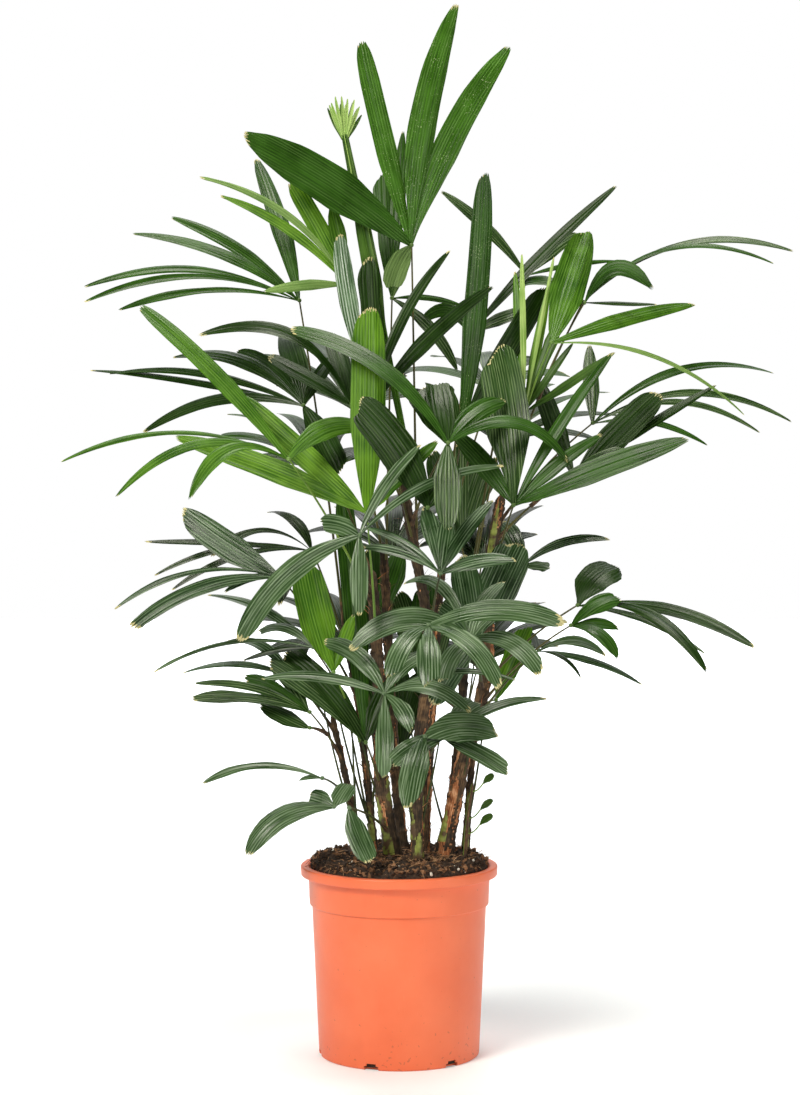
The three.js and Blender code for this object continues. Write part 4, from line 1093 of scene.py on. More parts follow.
def stalk_ring(foot, hub, arch, sway, radii, share):
    face = unit(-np.cross(STALK_ACROSS, hub - foot))
    centre, left, over = arch_frame(foot, hub, np.array(share), arch, sway, face)
    radius = radii[0] + (radii[1] - radii[0]) * share
    turns = np.arange(3) * 2 * math.pi / 3
    return np.array([centre - left * radius * math.sin(a) + over * radius * math.cos(a) for a in turns])


def place_stalk(frond, hub, cloud, stalks):
    """The foot, the arch and the sideways bow that the solid stalk has."""
    best = None
    arch = frond.get("stalk_arch", STALK_ARCH)
    for sway, shift in STALK_TRIES:
        if "joins" in frond:
            foot, other_hub, other_arch, other_sway = stalks[frond["joins"]]
            foot = arch_points(foot, other_hub, np.array(STALK_FORK), other_arch, other_sway)
        else:
            way = CANES[frond["cane"]][1]
            height = min(frond["leaves_at"] + shift, way[-1][2] - BELOW_TIP)
            foot = cane_axis(way, np.array(float(height)))
        radii = frond.get("stalk", STALK_RADII)
        ring = np.concatenate([stalk_ring(foot, hub, arch, sway, radii, share) for share in (0.5, 0.75)])
        off = np.median(miss(ring, cloud))
        if best is None or off < best[0]:
            best = (off, foot, arch, sway)
    return best


clouds, stalks, leaflets, lost = {}, {}, {}, 0
for name, frond in FRONDS.items():
    owner = frond.get("joins", name)
    if owner not in clouds:
        clouds[owner] = corners_of(owner)
    hub = np.array(frond["hub"], float)
    off, *way = place_stalk(frond, hub, clouds[owner], stalks)
    if off > TOUCH:
        print(f"{name}: the stalk is {off:.2f} mm off its solid")
    stalks[name] = (way[0], hub, *way[1:])
    leaflets[name] = place_leaflets(frond, fan_frame(*frond["faces"]), hub, clouds[owner])
    lost += len(frond["fingers"]) - len(leaflets[name])
print("leaflets placed:", sum(map(len, leaflets.values())), "and left out:", lost)

# %% [markdown]
# ## Leaflets
#
# A leaflet is a long strap, wedge-shaped at its foot and pleated lengthwise like a folded fan.
# Most broad ones have a blunt tip that looks bitten off, and slim ones run out to a point. The
# pleats are what the eye reads first, since each one catches the light at its own angle. So they
# are folded into the mesh: two rows of faces a pleat, with a crease between them. The blade bows a
# little across and twists a little on its way. Its tip is torn into teeth, one for every rib.

# %% One pleated leaflet
PLEAT = 5.6  # from ridge to ridge
PLEAT_SLOPE = 0.14  # rise of a pleat over half its width
BLADE = 0.5  # thickness, a little more than life
TOOTH = 6.5  # length of the longest tooth at a tip
TWIST = 16  # degrees at the tip, at most
TIP_COAT, UNDER_COAT = 4, 3
ROWS_LONG, ROWS_SHORT, MOST_PLEATS = 26, 16, 9
TIP_FROM, CLOSE_ROWS = 0.94, [0.96, 0.975, 0.99, 1.0]  # the last rows lie closer, for the teeth
UNEVEN = 0.3  # how far a crease may stray, where the next one is about 2 away
PINCH, PINCHED = 2.2, 0.4  # how much steeper pleats get at the hub, and over what share of the length
STRAP = [(0, 0.14), (0.2, 0.6), (0.42, 1), (0.8, 0.94), (0.92, 0.8), (0.98, 0.62), (1, 0.46)]
TAPER = [(0, 0.14), (0.2, 0.6), (0.42, 1), (0.7, 0.9), (0.88, 0.6), (0.97, 0.34), (1, 0.22)]
LOBE = [(0, 0.14), (0.3, 0.86), (0.66, 1), (0.86, 0.84), (0.96, 0.62), (1, 0.42)]
ROOMIER, LEAST = 1.25, 0.66  # leaflets may overlap a little: share of the room, and of the width
FOLD_RISE = 0.17  # height of a broad fold, as a share of half the width
NARROW = 24  # a leaflet slimmer than this runs out to a point
TORN_AT_MOST = 0.12  # of the length
RIPPLE = 0.5  # height of the slow waves along a blade


def strap_width(along, reach, width, room, blunt):
    """A rounder, blunter end than the solid's, or a slimmer one, and a foot that is pinched less."""
    pointed = np.interp(along, *zip(*TAPER))
    rounded_off = np.interp(along, *zip(*(LOBE if reach < SHORT_REACH else STRAP)))
    shape = width * (pointed + (rounded_off - pointed) * blunt)
    space = np.maximum(ROOMIER * room * FAN_SHARE * reach * along, LEAST * shape)
    return np.maximum(ROOT_WIDTH, np.minimum(shape, space))


def torn_shares(along, across, rib, end, reach, dice):
    """How far along the leaflet every point lies, with a tooth left standing at each rib."""
    notches = np.array([dice.uniform(0.3, 1) for _ in rib]) * np.where(rib, 0.15, 1) * TOOTH
    torn = np.minimum(notches, end) + end * (0.3 * across**2 + dice.uniform(0, 0.5) * (1 + across))
    return along[:, None] * (1 - np.minimum(torn, TORN_AT_MOST * reach)[None] / reach * along[:, None] ** 8)


def blade_heights(along, across, rib, half, width, thick, fold, dice):
    """How high every point stands over the arch: pleats, broad folds, a bow across and a ripple."""
    heights = np.array([dice.uniform(0.5, 1) for _ in rib]) * np.where(rib, 0.5, -0.5)
    deep = PLEAT_SLOPE * (1 + PINCH * np.clip(1 - along / PINCHED, 0, 1))
    ridge = np.minimum(2 * half / (len(rib) - 1) * deep, 0.9)[:, None] * heights
    bow = dice.choice((-1, 1, 1)) * dice.uniform(0.3, 1) if fold is None else fold
    knots = [-1, dice.uniform(-0.6, -0.1), dice.uniform(0.05, 0.6), 1]
    rises = [dice.uniform(-1, 0.6), dice.uniform(0.3, 1), dice.uniform(-0.8, 0.4), dice.uniform(-0.4, 1)]
    folds = FOLD_RISE * half[:, None] * np.interp(across, knots, rises)[None]
    folds = folds * (0.65 + 0.35 * np.sin(along * dice.uniform(2, 5) + dice.uniform(0, 6)))[:, None]
    crown = 1.0 if bow > 0 else 0.0
    depth = 0.5 * thick * (crown - bow * across[None] ** 2)
    ripple = RIPPLE * np.sin(along * dice.uniform(5, 9) + dice.uniform(0, 6))[:, None]
    fullness = np.minimum(1, half / (0.5 * width))[:, None]
    return ridge + folds - 0.5 * thick + (depth - 0.25 * thick) * fullness + ripple * along[:, None]


def leaflet(heap, root, tip, face, width, room, arch, tone, dice, fold=None, dry=None, blunt=None):
    """One closed blade. fold, dry and blunt are drawn by chance where they aren't given."""
    reach = np.linalg.norm(tip - root)
    thick = max(THICKNESS, THICKNESS_RATIO * reach)
    rows = ROWS_SHORT if reach < SHORT_REACH else ROWS_LONG
    along = np.append(np.linspace(0, TIP_FROM, rows - len(CLOSE_ROWS)), CLOSE_ROWS)
    if blunt is None:
        blunt = dice.choice((0, 0.15) if width < NARROW else (0.1, 0.5, 1, 1))
    half = strap_width(along, reach, width, room, blunt) / 2
    pleats = int(np.clip(round(2 * half.max() / PLEAT), 1, MOST_PLEATS))
    columns = 2 * pleats + 1
    rib = np.arange(columns) % 2
    across = 1 - 2 * np.arange(columns) / (columns - 1)
    across[1:-1] += np.array([dice.uniform(-UNEVEN, UNEVEN) for _ in range(columns - 2)]) / columns
    share = torn_shares(along, across, rib, 2 * half[-1], reach, dice)
    centre, left, over = arch_frame(root, tip, share, arch, 0, face)
    x = half[:, None] * across[None]
    y = blade_heights(along, across, rib, half, width, thick, fold, dice)
    turn = math.radians(dice.uniform(-TWIST, TWIST)) * along[:, None] ** 1.4
    sideways, up = x * np.cos(turn) - y * np.sin(turn), x * np.sin(turn) + y * np.cos(turn)
    top = centre + left * sideways[..., None] + over * up[..., None]
    under = top + (left * np.sin(turn)[..., None] - over * np.cos(turn)[..., None]) * BLADE
    quads, row, column = weave(rows, columns)
    inner = np.arange(rows * columns).reshape(rows, columns)
    inner[1:-1, 1:-1] = rows * columns + np.arange((rows - 2) * (columns - 2)).reshape(rows - 2, -1)
    flat = np.stack([x, share * reach], axis=-1)
    shift = np.array([dice.uniform(0, 900), dice.uniform(0, 900)])
    chart = flat[row, column] + shift
    dry = dice.choice((0, 0, 1, 1)) if dry is None else dry
    withered = row[:, 0] >= rows - 1 - dry - (column[:, 0] % 4 == 1)
    coats = np.where(withered, TIP_COAT, tone)
    coats_under = np.where(withered, TIP_COAT, UNDER_COAT)
    points = np.concatenate([top.reshape(-1, 3), under[1:-1, 1:-1].reshape(-1, 3)])
    heap.add(points, np.concatenate([quads, inner.ravel()[quads][:, ::-1]]),
             np.concatenate([coats, coats_under]), np.concatenate([chart, chart[:, ::-1] + 1000]))


# %% Stalks, leaf bases and hubs
STALK_SIDES, STALK_ROWS = 8, 18
SLIM = 0.62  # share of the solid stalk's radius
SHEATH_LENGTH, SHEATH_SWELL = 26, 1.3  # the fibrous collar where a stalk leaves its cane
KNOB_RADIUS, KNOB_HEIGHT = 2.8, 2.4


def stalk(heap, foot, hub, arch, sway, radii):
    face = unit(-np.cross(STALK_ACROSS, hub - foot))
    share = np.linspace(0, 1, STALK_ROWS) ** 1.3
    centre, left, over = arch_frame(foot, hub, share, arch, sway, face)
    length = share * np.linalg.norm(hub - foot)
    radius = radii[0] + (radii[1] - radii[0]) * share
    radius = radius * SLIM + SHEATH_SWELL * np.exp(-((length / SHEATH_LENGTH) ** 2))
    grooved = 1 - 0.12 * (np.arange(STALK_SIDES) == 2)
    coats = np.repeat((length < SHEATH_LENGTH).astype(int)[:, None], STALK_SIDES, axis=1)
    tube(heap, centre, -left, over, radius[:, None] * grooved[None], coats)


def knob(heap, hub, fan, coat):
    """The undivided heart of a fan: a small waxy bead that the leaflets are pinched into."""
    face, level, rise = fan
    height = np.linspace(-0.96, 0.96, 7)
    centres = hub + face * (height * KNOB_HEIGHT)[:, None]
    ribs = 1 + 0.06 * np.cos(8 * np.linspace(0, 2 * math.pi, 16, endpoint=False))
    radii = (KNOB_RADIUS * np.sqrt(1 - height**2))[:, None] * ribs[None]
    tube(heap, centres, *alike(len(height), level, rise), radii, coat, coat)


# %% [markdown]
# ### The folded spear
#
# The youngest leaf still stands folded: a slim green stem, a fluted bundle of pale and dark stripes
# in its middle, and at the top a tuft of narrow fingers, most of them pale.

# %% Spear
SPEAR_FLUTES, SPEAR_ROWS = 9, 40
SPEAR_FINGERS, FINGER_LENGTHS, FINGER_WIDTH = 13, (46, 55), 4.6
TUFT_SPREAD, TUFT_DEPTH = 25, 16  # degrees: to the sides, and forward or back
STEM_END = 0.4  # share of the spear's height
SPEAR_RADII = [(0, 4.0), (0.4, 5.0), (0.52, 10.5), (0.7, 9.5), (0.8, 6.2), (0.97, 4.6), (1, 4.2)]
PALE_COAT, SPEAR_COAT = 5, 6


def spear(heap, foot, hub, arch, sway, dice):
    columns = 2 * SPEAR_FLUTES
    share = np.linspace(0, 1, SPEAR_ROWS)
    face = unit(-np.cross(STALK_ACROSS, hub - foot))
    centre, left, over = arch_frame(foot, hub, share, arch, sway, face)
    radius = np.interp(share, *zip(*SPEAR_RADII))
    flutes = 1 - 0.24 * (np.arange(columns) % 2)
    flutes = flutes[None] + 0.04 * np.sin(share[:, None] * 9 + np.arange(columns)[None])
    striped = np.array([dice.choice((PALE_COAT, SPEAR_COAT, SPEAR_COAT)) for _ in range(columns)])
    coats = np.tile(striped, (SPEAR_ROWS, 1))
    coats[share > 0.82] = np.where(np.arange(columns) % 5 == 0, PALE_COAT, SPEAR_COAT)
    coats[share < STEM_END] = 1
    tube(heap, centre, -left, over, radius[:, None] * flutes, coats, PALE_COAT)
    for k in range(SPEAR_FINGERS):
        side = -1 + 2 * k / (SPEAR_FINGERS - 1)
        lean = math.radians(TUFT_SPREAD * side + dice.uniform(-2, 2))
        depth = math.radians(TUFT_DEPTH * (-1) ** k + dice.uniform(-5, 5))
        way = np.array([math.sin(lean), math.sin(depth) * math.cos(lean), math.cos(lean) * math.cos(depth)])
        root = hub + np.array([3.4 * side, 2.5 * math.copysign(1, depth), -5])
        tip = root + way * (dice.uniform(*FINGER_LENGTHS) - 7 * side**2)
        face = unit(np.array([0.2 * side, -1, 0.1]))
        leaflet(heap, root, tip, face, FINGER_WIDTH, 1.0, 0.02 * side,
                PALE_COAT if k % 4 else SPEAR_COAT, dice, fold=-1.0, dry=0)

# %% [markdown]
# ### Growing the fronds
#
# Leaflets of one age go onto one heap. Each takes one of its age's three tones by chance, and
# most leaflets of a fan agree. Just over half of the fans, and some single leaflets, have their
# tone set by name instead: among them the specked top fan, the pale spikes that are just
# unfolding, leaflets turned underside up, and one glossy blade painted pale with white streaks,
# a painted sheen.

# %% Grow the fronds
SPECKED, PAINTED_SHEEN, DARK_SPECKED = 6, 7, 8
TONES_BY_FAN = {
    SPECKED: "frond_01",
    0: "frond_06 frond_07 frond_08 frond_09 frond_19 frond_24 frond_28 frond_36 inner_5 inner_8",
    1: "frond_02 frond_04 frond_05 frond_11 frond_14 frond_15 frond_16 frond_17 frond_18 frond_23"
       " frond_26 frond_33 frond_34 inner_7 inner_9",
    2: "frond_03 frond_27 frond_43 frond_44 frond_45 frond_46",
}
FAN_TONES = {fan: tone for tone, fans in TONES_BY_FAN.items() for fan in fans.split()}
# a tone, then the leaflets that wear it: fan, and number in the fan
TONES_BY_LEAFLET = {
    0: [("frond_02", 1), ("frond_02", 2), ("frond_03", 0), ("frond_15", 2), ("frond_20", 0),
        ("frond_37", 0), ("inner_4", 0)],
    1: [("frond_01", 0), ("frond_03", 3), ("frond_35", 0)],
    2: [("frond_02", 4), ("frond_05", 0), ("frond_15", 1), ("inner_2", 2)],
    UNDER_COAT: [("frond_01", 4), ("frond_11", 1), ("frond_15", 0), ("frond_15", 3), ("frond_35", 4)],
    PALE_COAT: [("frond_39", 0), ("frond_39", 3)],
    SPEAR_COAT: [("frond_39", 4), ("frond_39", 5), ("frond_39", 6)],
    PAINTED_SHEEN: [("frond_06", 0)],
    DARK_SPECKED: [("frond_36", 0)],
}
LEAFLET_TONES = {leaf: tone for tone, leaves in TONES_BY_LEAFLET.items() for leaf in leaves}
# A few leaflets never split from their neighbour and stay a broad blade, and a few are slimmer
# than their solids: share of the width that the table gives.
WIDTH_SHARES = {("frond_02", 1): 1.95, ("frond_02", 2): 1.8, ("frond_03", 0): 1.12,
                ("frond_04", 1): 0.7, ("frond_04", 2): 0.8, ("frond_11", 1): 0.65,
                ("frond_20", 0): 0.92, ("frond_36", 1): 1.3}
# How blunt a few tips are, from 0 for a point to 1.
ENDS = {("frond_01", 0): 0, ("frond_01", 2): 0, ("frond_01", 3): 0.15, ("frond_36", 0): 0.8,
        ("frond_03", 0): 1, ("frond_02", 1): 1}
AGES = ("young", "ripe", "old")
leaf_heaps = {age: Heap() for age in AGES}
stalk_heaps = {age: Heap() for age in AGES}
owners = {age: [] for age in AGES}
for name, frond in FRONDS.items():
    dice = random.Random(name)
    owner = frond.get("joins", name)
    age = frond["age"]
    if owner == name:
        owners[age].append(name)
    foot, hub, bend, sway = stalks[name]
    fan = fan_frame(*frond["faces"])
    if name == "spear_01":
        spear(leaf_heaps[age], foot, hub, bend, sway, dice)
        continue
    stalk(stalk_heaps[age], foot, hub, bend, sway, STALK_RADII)
    main_tone = dice.choice((0, 1, 2))
    knob(leaf_heaps[age], hub, fan, UNDER_COAT)
    for number, tip, width, room_here, arch in leaflets[name]:
        tone = dice.choice((main_tone, main_tone, 0, 1, 2))
        tone = FAN_TONES.get(name, tone)
        tone = LEAFLET_TONES.get((name, number), tone)
        width = width * WIDTH_SHARES.get((name, number), 1)
        dry = dice.choice((1, 2, 2, 3)) if age == "old" else None  # old tips wither furthest
        leaflet(leaf_heaps[age], hub, tip, fan[0], width, room_here, arch, tone, dice,
                dry=dry, blunt=ENDS.get((name, number)))

# %% [markdown]
# ### The shoot
#
# A thin new stem stands beside the right-hand canes, with small leaves up one side.

# %% Shoot
SHOOT_WAY, SHOOT_RADII = [(80, 6), (84, 6, 290), (90, 6, 330)], (2.6, 1.8)
SHOOT_LEAVES = [(267, 42), (286, 40), (319, 36)]  # height, reach
SHOOT_RISE, SHOOT_FORWARD, SHOOT_BLADE, SHOOT_ARCH = 36, 4, 11, 0.12
SHOOT_STALK, SHOOT_SAG = 0.46, 3.5  # share of a leaf that is bare stalk, and how far that sags
SHOOT_SIDES, SHOOT_ROW = 8, 3.0
SHOOT_TIP, SHOOT_TIP_ROWS = 4, np.array([3, 1.5, 0.5, 0])  # length of the rounded end, rows from its tip


def shoot(stems, leaves, dice):
    cane = (SHOOT_RADII, SHOOT_WAY)
    tip_height = SHOOT_WAY[-1][2]
    heights = np.append(np.arange(SOIL_TOP - ROOTED, tip_height - SHOOT_TIP, SHOOT_ROW),
                        tip_height - SHOOT_TIP_ROWS)
    rounding = np.sqrt(np.clip((tip_height + 0.4 - heights) / SHOOT_TIP, 0.02, 1))
    radii = cane_radius(cane, heights) * rounding
    radii = radii * (1 + 0.12 * np.cos(heights / 7))
    radii = np.repeat(radii[:, None], SHOOT_SIDES, axis=1)
    coats = np.tile((np.arange(SHOOT_SIDES) % 4 > 0).astype(int), (len(heights), 1))  # mostly bark
    tube(stems, cane_axis(SHOOT_WAY, heights), *alike(len(heights)), radii, coats)
    rise = math.radians(SHOOT_RISE)
    for height, reach in SHOOT_LEAVES:
        root = cane_axis(SHOOT_WAY, np.array(float(height)))
        tip = root + np.array([reach * math.cos(rise), -SHOOT_FORWARD, reach * math.sin(rise)])
        face = unit(np.array([-math.sin(rise), -1, math.cos(rise)]))
        share = np.linspace(0, 1.08, 8)[:, None]
        bare = root + (tip - root) * SHOOT_STALK * share - UP * SHOOT_SAG * np.sin(math.pi * share / 1.08)
        thread(stems, bare, np.full((8, 6), 0.8), 0)
        joint = root + (tip - root) * SHOOT_STALK
        leaflet(leaves, joint, tip, face, SHOOT_BLADE, math.pi, SHOOT_ARCH, SPEAR_COAT, dice,
                dry=0, blunt=0)


shoot(stalk_heaps["young"], leaf_heaps["young"], random.Random("shoot"))
owners["young"].append("shoot")

# %% [markdown]
# ### Palm leaf, from new to old
#
# A new leaf is thin, bright and satin. A ripe one is dark with a waxy gloss. An old one is dull
# and blue-green, with silvery strokes along its veins that are partly wax weathered off and partly
# a painted sheen; one ripe tone has them too. Every leaf has fine veins along its length and a paler
# underside, and is straw-coloured where its tip has dried. The tones are dealt out as plain coats,
# so that a colour belongs to a whole leaflet.


# %% Leaf materials
STREAK, STREAK_RUN = 1.2, 55  # width and length of a streak; real veins are finer, drawn to show
RIB = 3.3  # from one raised vein to the next
SWELL, SWELL_RUN = 7, 180  # width and length over which veins stand out or fade
WAVE = 0.314  # a band texture of scale 1 repeats every 0.314


def leaf_skin(name, dark, light, roughness, line="#8CA070", line_strength="#505050", wax_and_sheen_tint=None,
              specks=0.0, relief=0.4, shine=0.27):
    material, tree = blank(name)
    chart = node(tree, "ShaderNodeTexCoord").outputs["UV"]
    place = node(tree, "ShaderNodeTexCoord").outputs["Object"]
    streaks = drawn_noise(tree, chart, STREAK, STREAK_RUN, 3)
    ribs = node(tree, "ShaderNodeTexWave", {"Vector": chart, "Scale": per_metre(RIB) * WAVE},
                bands_direction="X").outputs["Fac"]
    clouds = noise(tree, place, 38, 2)
    veins = node(tree, "ShaderNodeMix", {"Factor": 0.22, "A": streaks, "B": ribs}).outputs["Result"]
    mixed = node(tree, "ShaderNodeMix", {"Factor": 0.45, "A": veins, "B": clouds}).outputs["Result"]
    tint = ramp(tree, mixed, [(0.36, dark), (0.62, light)])
    # pale veins, of which some stand out and others fade
    bold = shift_range(tree, drawn_noise(tree, chart, SWELL, SWELL_RUN, 2), (0.35, 0.65), (0.55, 1.5))
    drawn_ribs = reckon(tree, "MULTIPLY", reckon(tree, "MULTIPLY", ribs, streaks), bold)
    lines = ramp(tree, drawn_ribs, [(0.3, "#000000"), (0.72, line_strength)])
    tint = coat_over(tree, lines, tint, linear(line))
    if wax_and_sheen_tint:
        # pale strokes along the veins: wax worn off in long strokes, and a painted sheen
        worn_wax_and_painted_sheen = ramp(tree, veins, [(0.52, "#000000"), (0.66, "#909090")])
        tint = coat_over(tree, worn_wax_and_painted_sheen, tint, linear(wax_and_sheen_tint))
    if specks:
        # small pale scars, about a millimetre wide, in clusters
        fine = node(tree, "ShaderNodeMapping", {"Vector": chart, "Scale": (1, 0.6, 1)}).outputs["Vector"]
        scars = noise(tree, fine, 1.4, 1, noise_dimensions="2D")
        patches = noise(tree, chart, 24, 1, noise_dimensions="2D")
        sown = reckon(tree, "MULTIPLY_ADD", patches, 0.3, scars)
        marks = ramp(tree, sown, [(specks, "#000000"), (specks + 0.03, "#A0A0A0")])
        tint = coat_over(tree, marks, tint, linear("#C9D6A8"))
    finish_surface(tree, {
        "Base Color": tint,
        "Roughness": shift_range(tree, clouds, (0.3, 0.7), (roughness - 0.06, roughness + 0.08)),
        "Normal": bumps(tree, veins, relief, 0.6),
        "IOR": 1.45,
        "Specular IOR Level": shine,
    })
    return material


DRY_TIP = leaf_skin("dry_leaf_tip", "#8A8250", "#C4BC90", 0.75)
NEW_BUD = leaf_skin("new_leaf_pale_rib", "#6A9038", "#A6BE70", 0.45)
# the silvery strokes on the cool ripe tone and the old tones are weathered wax and a painted sheen in one
SKINS = {
    "young": [
        leaf_skin("new_leaf_bright", "#264C06", "#588218", 0.36, shine=0.2),
        leaf_skin("new_leaf_grass", "#224609", "#487018", 0.36, shine=0.2),
        leaf_skin("new_leaf_fresh", "#2E530C", "#628A22", 0.38, shine=0.2),
        leaf_skin("new_leaf_underside", "#4A6A28", "#6E8A48", 0.55),
    ],
    "ripe": [
        leaf_skin("ripe_leaf_deep", "#0E2002", "#1C3608", 0.32, shine=0.19),
        leaf_skin("ripe_leaf_green", "#163004", "#2C5010", 0.32, shine=0.2),
        leaf_skin("ripe_leaf_cool", "#14280A", "#2A4618", 0.3, wax_and_sheen_tint="#8A9C70", shine=0.24),
        leaf_skin("ripe_leaf_underside", "#38501E", "#566E38", 0.55),
    ],
    "old": [
        leaf_skin("old_leaf_blue_green", "#13260D", "#2E4A24", 0.28, "#AEC0A2", "#585858",
                  wax_and_sheen_tint="#8CA082", shine=0.27),
        leaf_skin("old_leaf_grey_green", "#22381A", "#445D36", 0.3, "#B8C8AC", "#505050",
                  wax_and_sheen_tint="#9CAE92", shine=0.3),
        leaf_skin("old_leaf_dark", "#0B1A04", "#1B2E0D", 0.3, "#86987A", "#585858",
                  wax_and_sheen_tint="#607450", shine=0.22),
        leaf_skin("old_leaf_underside", "#44583A", "#64785A", 0.6),
    ],
}
SPEAR_SKIN = leaf_skin("folded_leaf_dark", "#24400E", "#42621E", 0.4)
SPECKED_SKIN = leaf_skin("specked_leaf", "#224208", "#3A6416", 0.3, "#7C9C5C", "#707070",
                         specks=0.905, relief=0.6)
DARK_SPECKED_SKIN = leaf_skin("dark_specked_leaf", "#1C3A0A", "#2E5216", 0.3, specks=0.905)
# a glossy blade painted pale with white veins and strokes: a painted sheen over a real gloss
PAINTED_SHEEN_SKIN = leaf_skin("leaf_with_painted_sheen", "#2E4A28", "#5E7A58", 0.22, "#D4DED4", "#A0A0A0",
                        wax_and_sheen_tint="#D0DACE", shine=0.6)
STALKS = {
    "young": leaf_skin("new_stalk", "#50702A", "#7A963C", 0.45),
    "ripe": leaf_skin("ripe_stalk", "#38381A", "#5E5A30", 0.45),
    "old": leaf_skin("old_stalk", "#32381C", "#54542E", 0.5),
}
RIPE_EXTRAS = [SPECKED_SKIN, PAINTED_SHEEN_SKIN, DARK_SPECKED_SKIN]
EXTRAS = {"young": [SPEAR_SKIN], "ripe": RIPE_EXTRAS, "old": RIPE_EXTRAS}
for age in AGES:
    skins = [*SKINS[age], DRY_TIP, NEW_BUD, *EXTRAS[age]]
    leaves = leaf_heaps[age].piece(f"leaflets_{age}", skins, crease=9)
    stems = stalk_heaps[age].piece(f"stalks_{age}", [STALKS[age], BROWN_FIBRE], crease=50)
    for made in (leaves, stems):
        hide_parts(*owners[age])
        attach(made, "root")

# %% [markdown]
# ## The soil
#
# Potting mix is dark peat with bark chips, brown fibres and a few white beads of perlite. It stands
# a few millimetres above the pot's rim, highest a thumb's breadth inside it, and is a little
# uneven. The bulk is one turned solid with a rough top, and the crumbs on it are real shapes,
# because they stand out against the rim.

# %% Heaped soil
SOIL_RINGS, SOIL_SIDES = 46, 160
SOIL_PROFILE = [(0, 236), (MOUTH - 45, 237), (MOUTH - 18, 240), (MOUTH - 7, 238), (MOUTH - GAP, 231)]
CRUMBLE = 2.8  # height of the lumps

lumps = np.random.default_rng(5)
waves = [(lumps.normal(0, 1, 2) * 2 * math.pi / size, lumps.uniform(0, 6.28), size / 22)
         for size in (26, 18, 12, 9, 7, 5) for _ in range(7)]


def crumbled(x, y):
    """Uneven height of the soil, as a sum of waves of many lengths."""
    total = sum(size * np.sin(x * k[0] + y * k[1] + phase) for k, phase, size in waves)
    return CRUMBLE * total / 4


def soil_height(x, y):
    radius = np.hypot(x, y)
    stations, heights = zip(*SOIL_PROFILE)
    edge = np.clip((MOUTH - radius) / 6, 0.15, 1)
    return np.interp(radius, stations, heights) + crumbled(x, y) * edge


def on_top(x, y):
    """The point of the soil's surface above a place."""
    return np.array([x, y, float(soil_height(np.array(x), np.array(y)))])


def heaped_soil(heap):
    below = [pot_inside(BAND_BOTTOM) - GAP, pot_inside(BOTTOM) - GAP]
    radius = np.concatenate([np.linspace(1.5, MOUTH - GAP, SOIL_RINGS), below])
    turns = np.linspace(0, 2 * math.pi, SOIL_SIDES, endpoint=False)
    r, a = np.meshgrid(radius, turns, indexing="ij")
    x, y = r * np.cos(a), r * np.sin(a)
    z = soil_height(x, y)
    z[-2], z[-1] = BAND_BOTTOM, BOTTOM + GAP
    quads, row, column = weave(len(radius), SOIL_SIDES, closed=True)
    points = np.stack([x, y, z], axis=-1)
    chart = points[row, column % SOIL_SIDES][..., :2]
    last = (len(radius) - 1) * SOIL_SIDES
    caps = [range(SOIL_SIDES), range(last + SOIL_SIDES - 1, last - 1, -1)]
    heap.add(points, quads[:, ::-1], 0, chart[:, ::-1], caps, 0)


# %% Bark chips, fibres and perlite
CHIPS, SOIL_FIBRES, BEADS = 1300, 1000, 40
SPILT = 0.3  # share of the crumbs that lie along the rim
CHIP_SIZES, BEAD_SIZES, ROOT_LENGTHS = (1.2, 5.6), (0.8, 2.4), (6, 20)
BARK_COAT, DARK_BARK_COAT, BEAD_COAT, STRAW_COAT = 1, 2, 3, 4
CHIP_COATS = (BARK_COAT, DARK_BARK_COAT, DARK_BARK_COAT)
MAT, MAT_SPREAD = [(-2, 4), (26, -24), (44, 6)], 17  # where roots and fibres lie in a mat
BOX = np.array([(x, y, z) for x in (-1, 1) for y in (-1, 1) for z in (-1, 1)], float)
BOX_FACES = np.array([(0, 1, 3, 2), (4, 6, 7, 5), (0, 4, 5, 1), (2, 3, 7, 6), (0, 2, 6, 4), (1, 5, 7, 3)])
FIBRE_DROOP, SOIL_FIBRE_THICKNESS = 0.55, 0.5


def random_turn(dice):
    """Three square directions, turned at random."""
    first = unit(dice.normal(0, 1, 3))
    second = unit(np.cross(first, dice.normal(0, 1, 3)))
    return np.stack([first, second, np.cross(first, second)])


def on_soil(dice):
    radius = (MOUTH - 3) * math.sqrt(dice.uniform(0, 1))
    if dice.uniform(0, 1) < SPILT:
        radius = MOUTH - dice.uniform(2, 9)
    turn = dice.uniform(0, 2 * math.pi)
    return on_top(radius * math.cos(turn), radius * math.sin(turn))


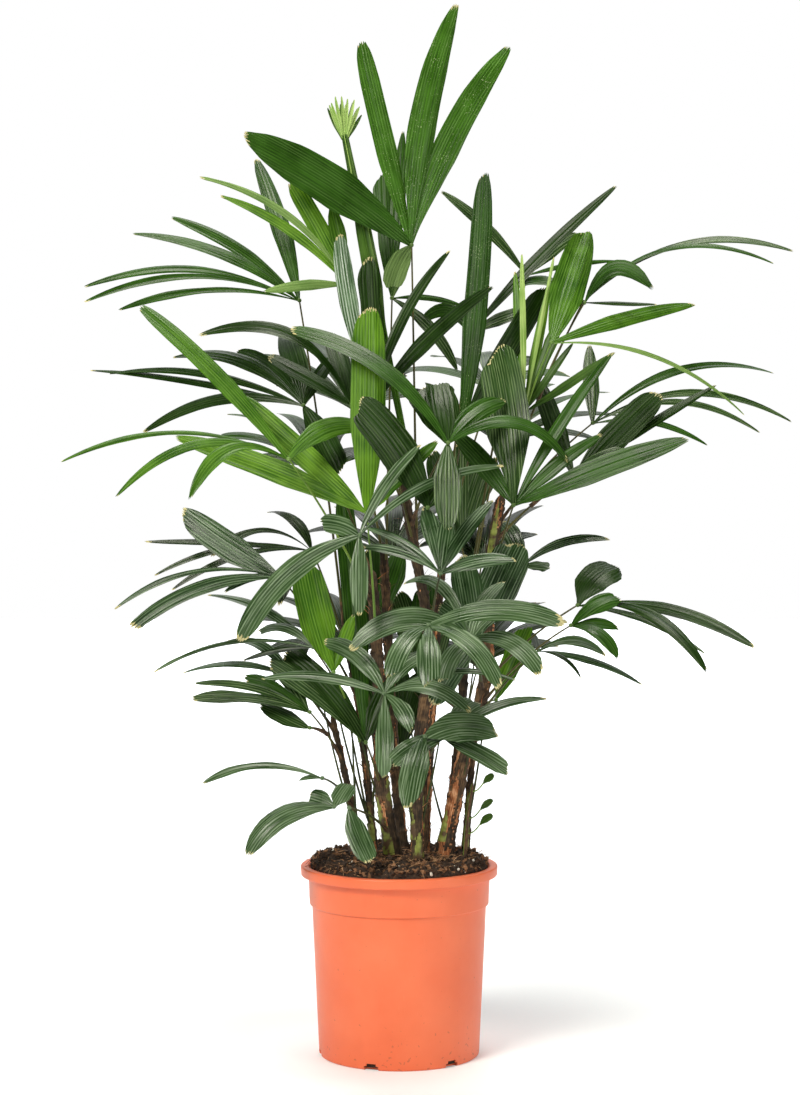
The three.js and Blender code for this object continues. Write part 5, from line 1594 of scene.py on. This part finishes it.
def scatter(heap):
    dice = np.random.default_rng(8)
    for _ in range(CHIPS):
        size = dice.uniform(*CHIP_SIZES) * np.array([1, dice.uniform(0.4, 0.8), dice.uniform(0.2, 0.5)])
        corners = (BOX * dice.uniform(0.6, 1, BOX.shape) * size) @ random_turn(dice)
        chart = np.zeros((6, 4, 2)) + dice.uniform(0, 900, 2)
        heap.add(corners + on_soil(dice) + UP * 0.6, BOX_FACES, int(dice.choice(CHIP_COATS)), chart)
    for _ in range(BEADS):
        size = dice.uniform(*BEAD_SIZES)
        height = np.linspace(-0.95, 0.95, 6)
        radii = (np.sqrt(1 - height**2))[:, None] * dice.uniform(0.8, 1.15, (6, 8)) * size
        axes = random_turn(dice)
        centres = on_soil(dice) + UP * 0.8 + axes[0] * (height * size)[:, None]
        tube(heap, centres, *alike(len(height), axes[1], axes[2]), radii, BEAD_COAT, BEAD_COAT)
    twigs = random.Random(9)
    for number in range(SOIL_FIBRES):
        turn = twigs.uniform(0, 6.28)
        way = np.array([math.cos(turn), math.sin(turn), twigs.uniform(0, 0.8)])
        start = on_soil(dice)
        if number % 2:
            start = on_top(*(twigs.gauss(middle, MAT_SPREAD) for middle in twigs.choice(MAT)))
        coat = twigs.choice((BARK_COAT, DARK_BARK_COAT, STRAW_COAT, STRAW_COAT))
        strand(heap, start + UP, way, FIBRE_DROOP, twigs.uniform(*ROOT_LENGTHS), SOIL_FIBRE_THICKNESS,
               coat, twigs)


# %% [markdown]
# ### Peat, bark and perlite
#
# Damp peat is nearly black and has no shine at all. Bark chips are red-brown where they broke.
# Perlite is a foamed glass, white and chalky.


# %% Soil materials
def crumbly(name, dark, light, size, roughness, depth):
    material, tree = blank(name)
    place = node(tree, "ShaderNodeTexCoord").outputs["Object"]
    crumbs = noise(tree, place, size, 5)
    tint = ramp(tree, crumbs, [(0.34, dark), (0.68, light)])
    finish_surface(tree, {"Base Color": tint, "Roughness": roughness,
                          "Normal": bumps(tree, crumbs, 0.9, depth)})
    return material


soil = Heap()
heaped_soil(soil)
scatter(soil)
soil_piece = soil.piece("potting_soil", [
    crumbly("damp_peat", "#0E0906", "#402C1E", 3.5, 0.95, 1.8),
    crumbly("broken_bark", "#4E301C", "#946A48", 4, 0.85, 0.6),
    crumbly("dark_bark", "#20150E", "#46301F", 4, 0.9, 0.6),
    crumbly("perlite", "#CFC8BC", "#EDE8DE", 2, 0.9, 0.4),
    crumbly("dry_root", "#7A5436", "#C8A078", 3, 0.85, 0.2),
], crease=40)
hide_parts("soil")
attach(soil_piece, "root")
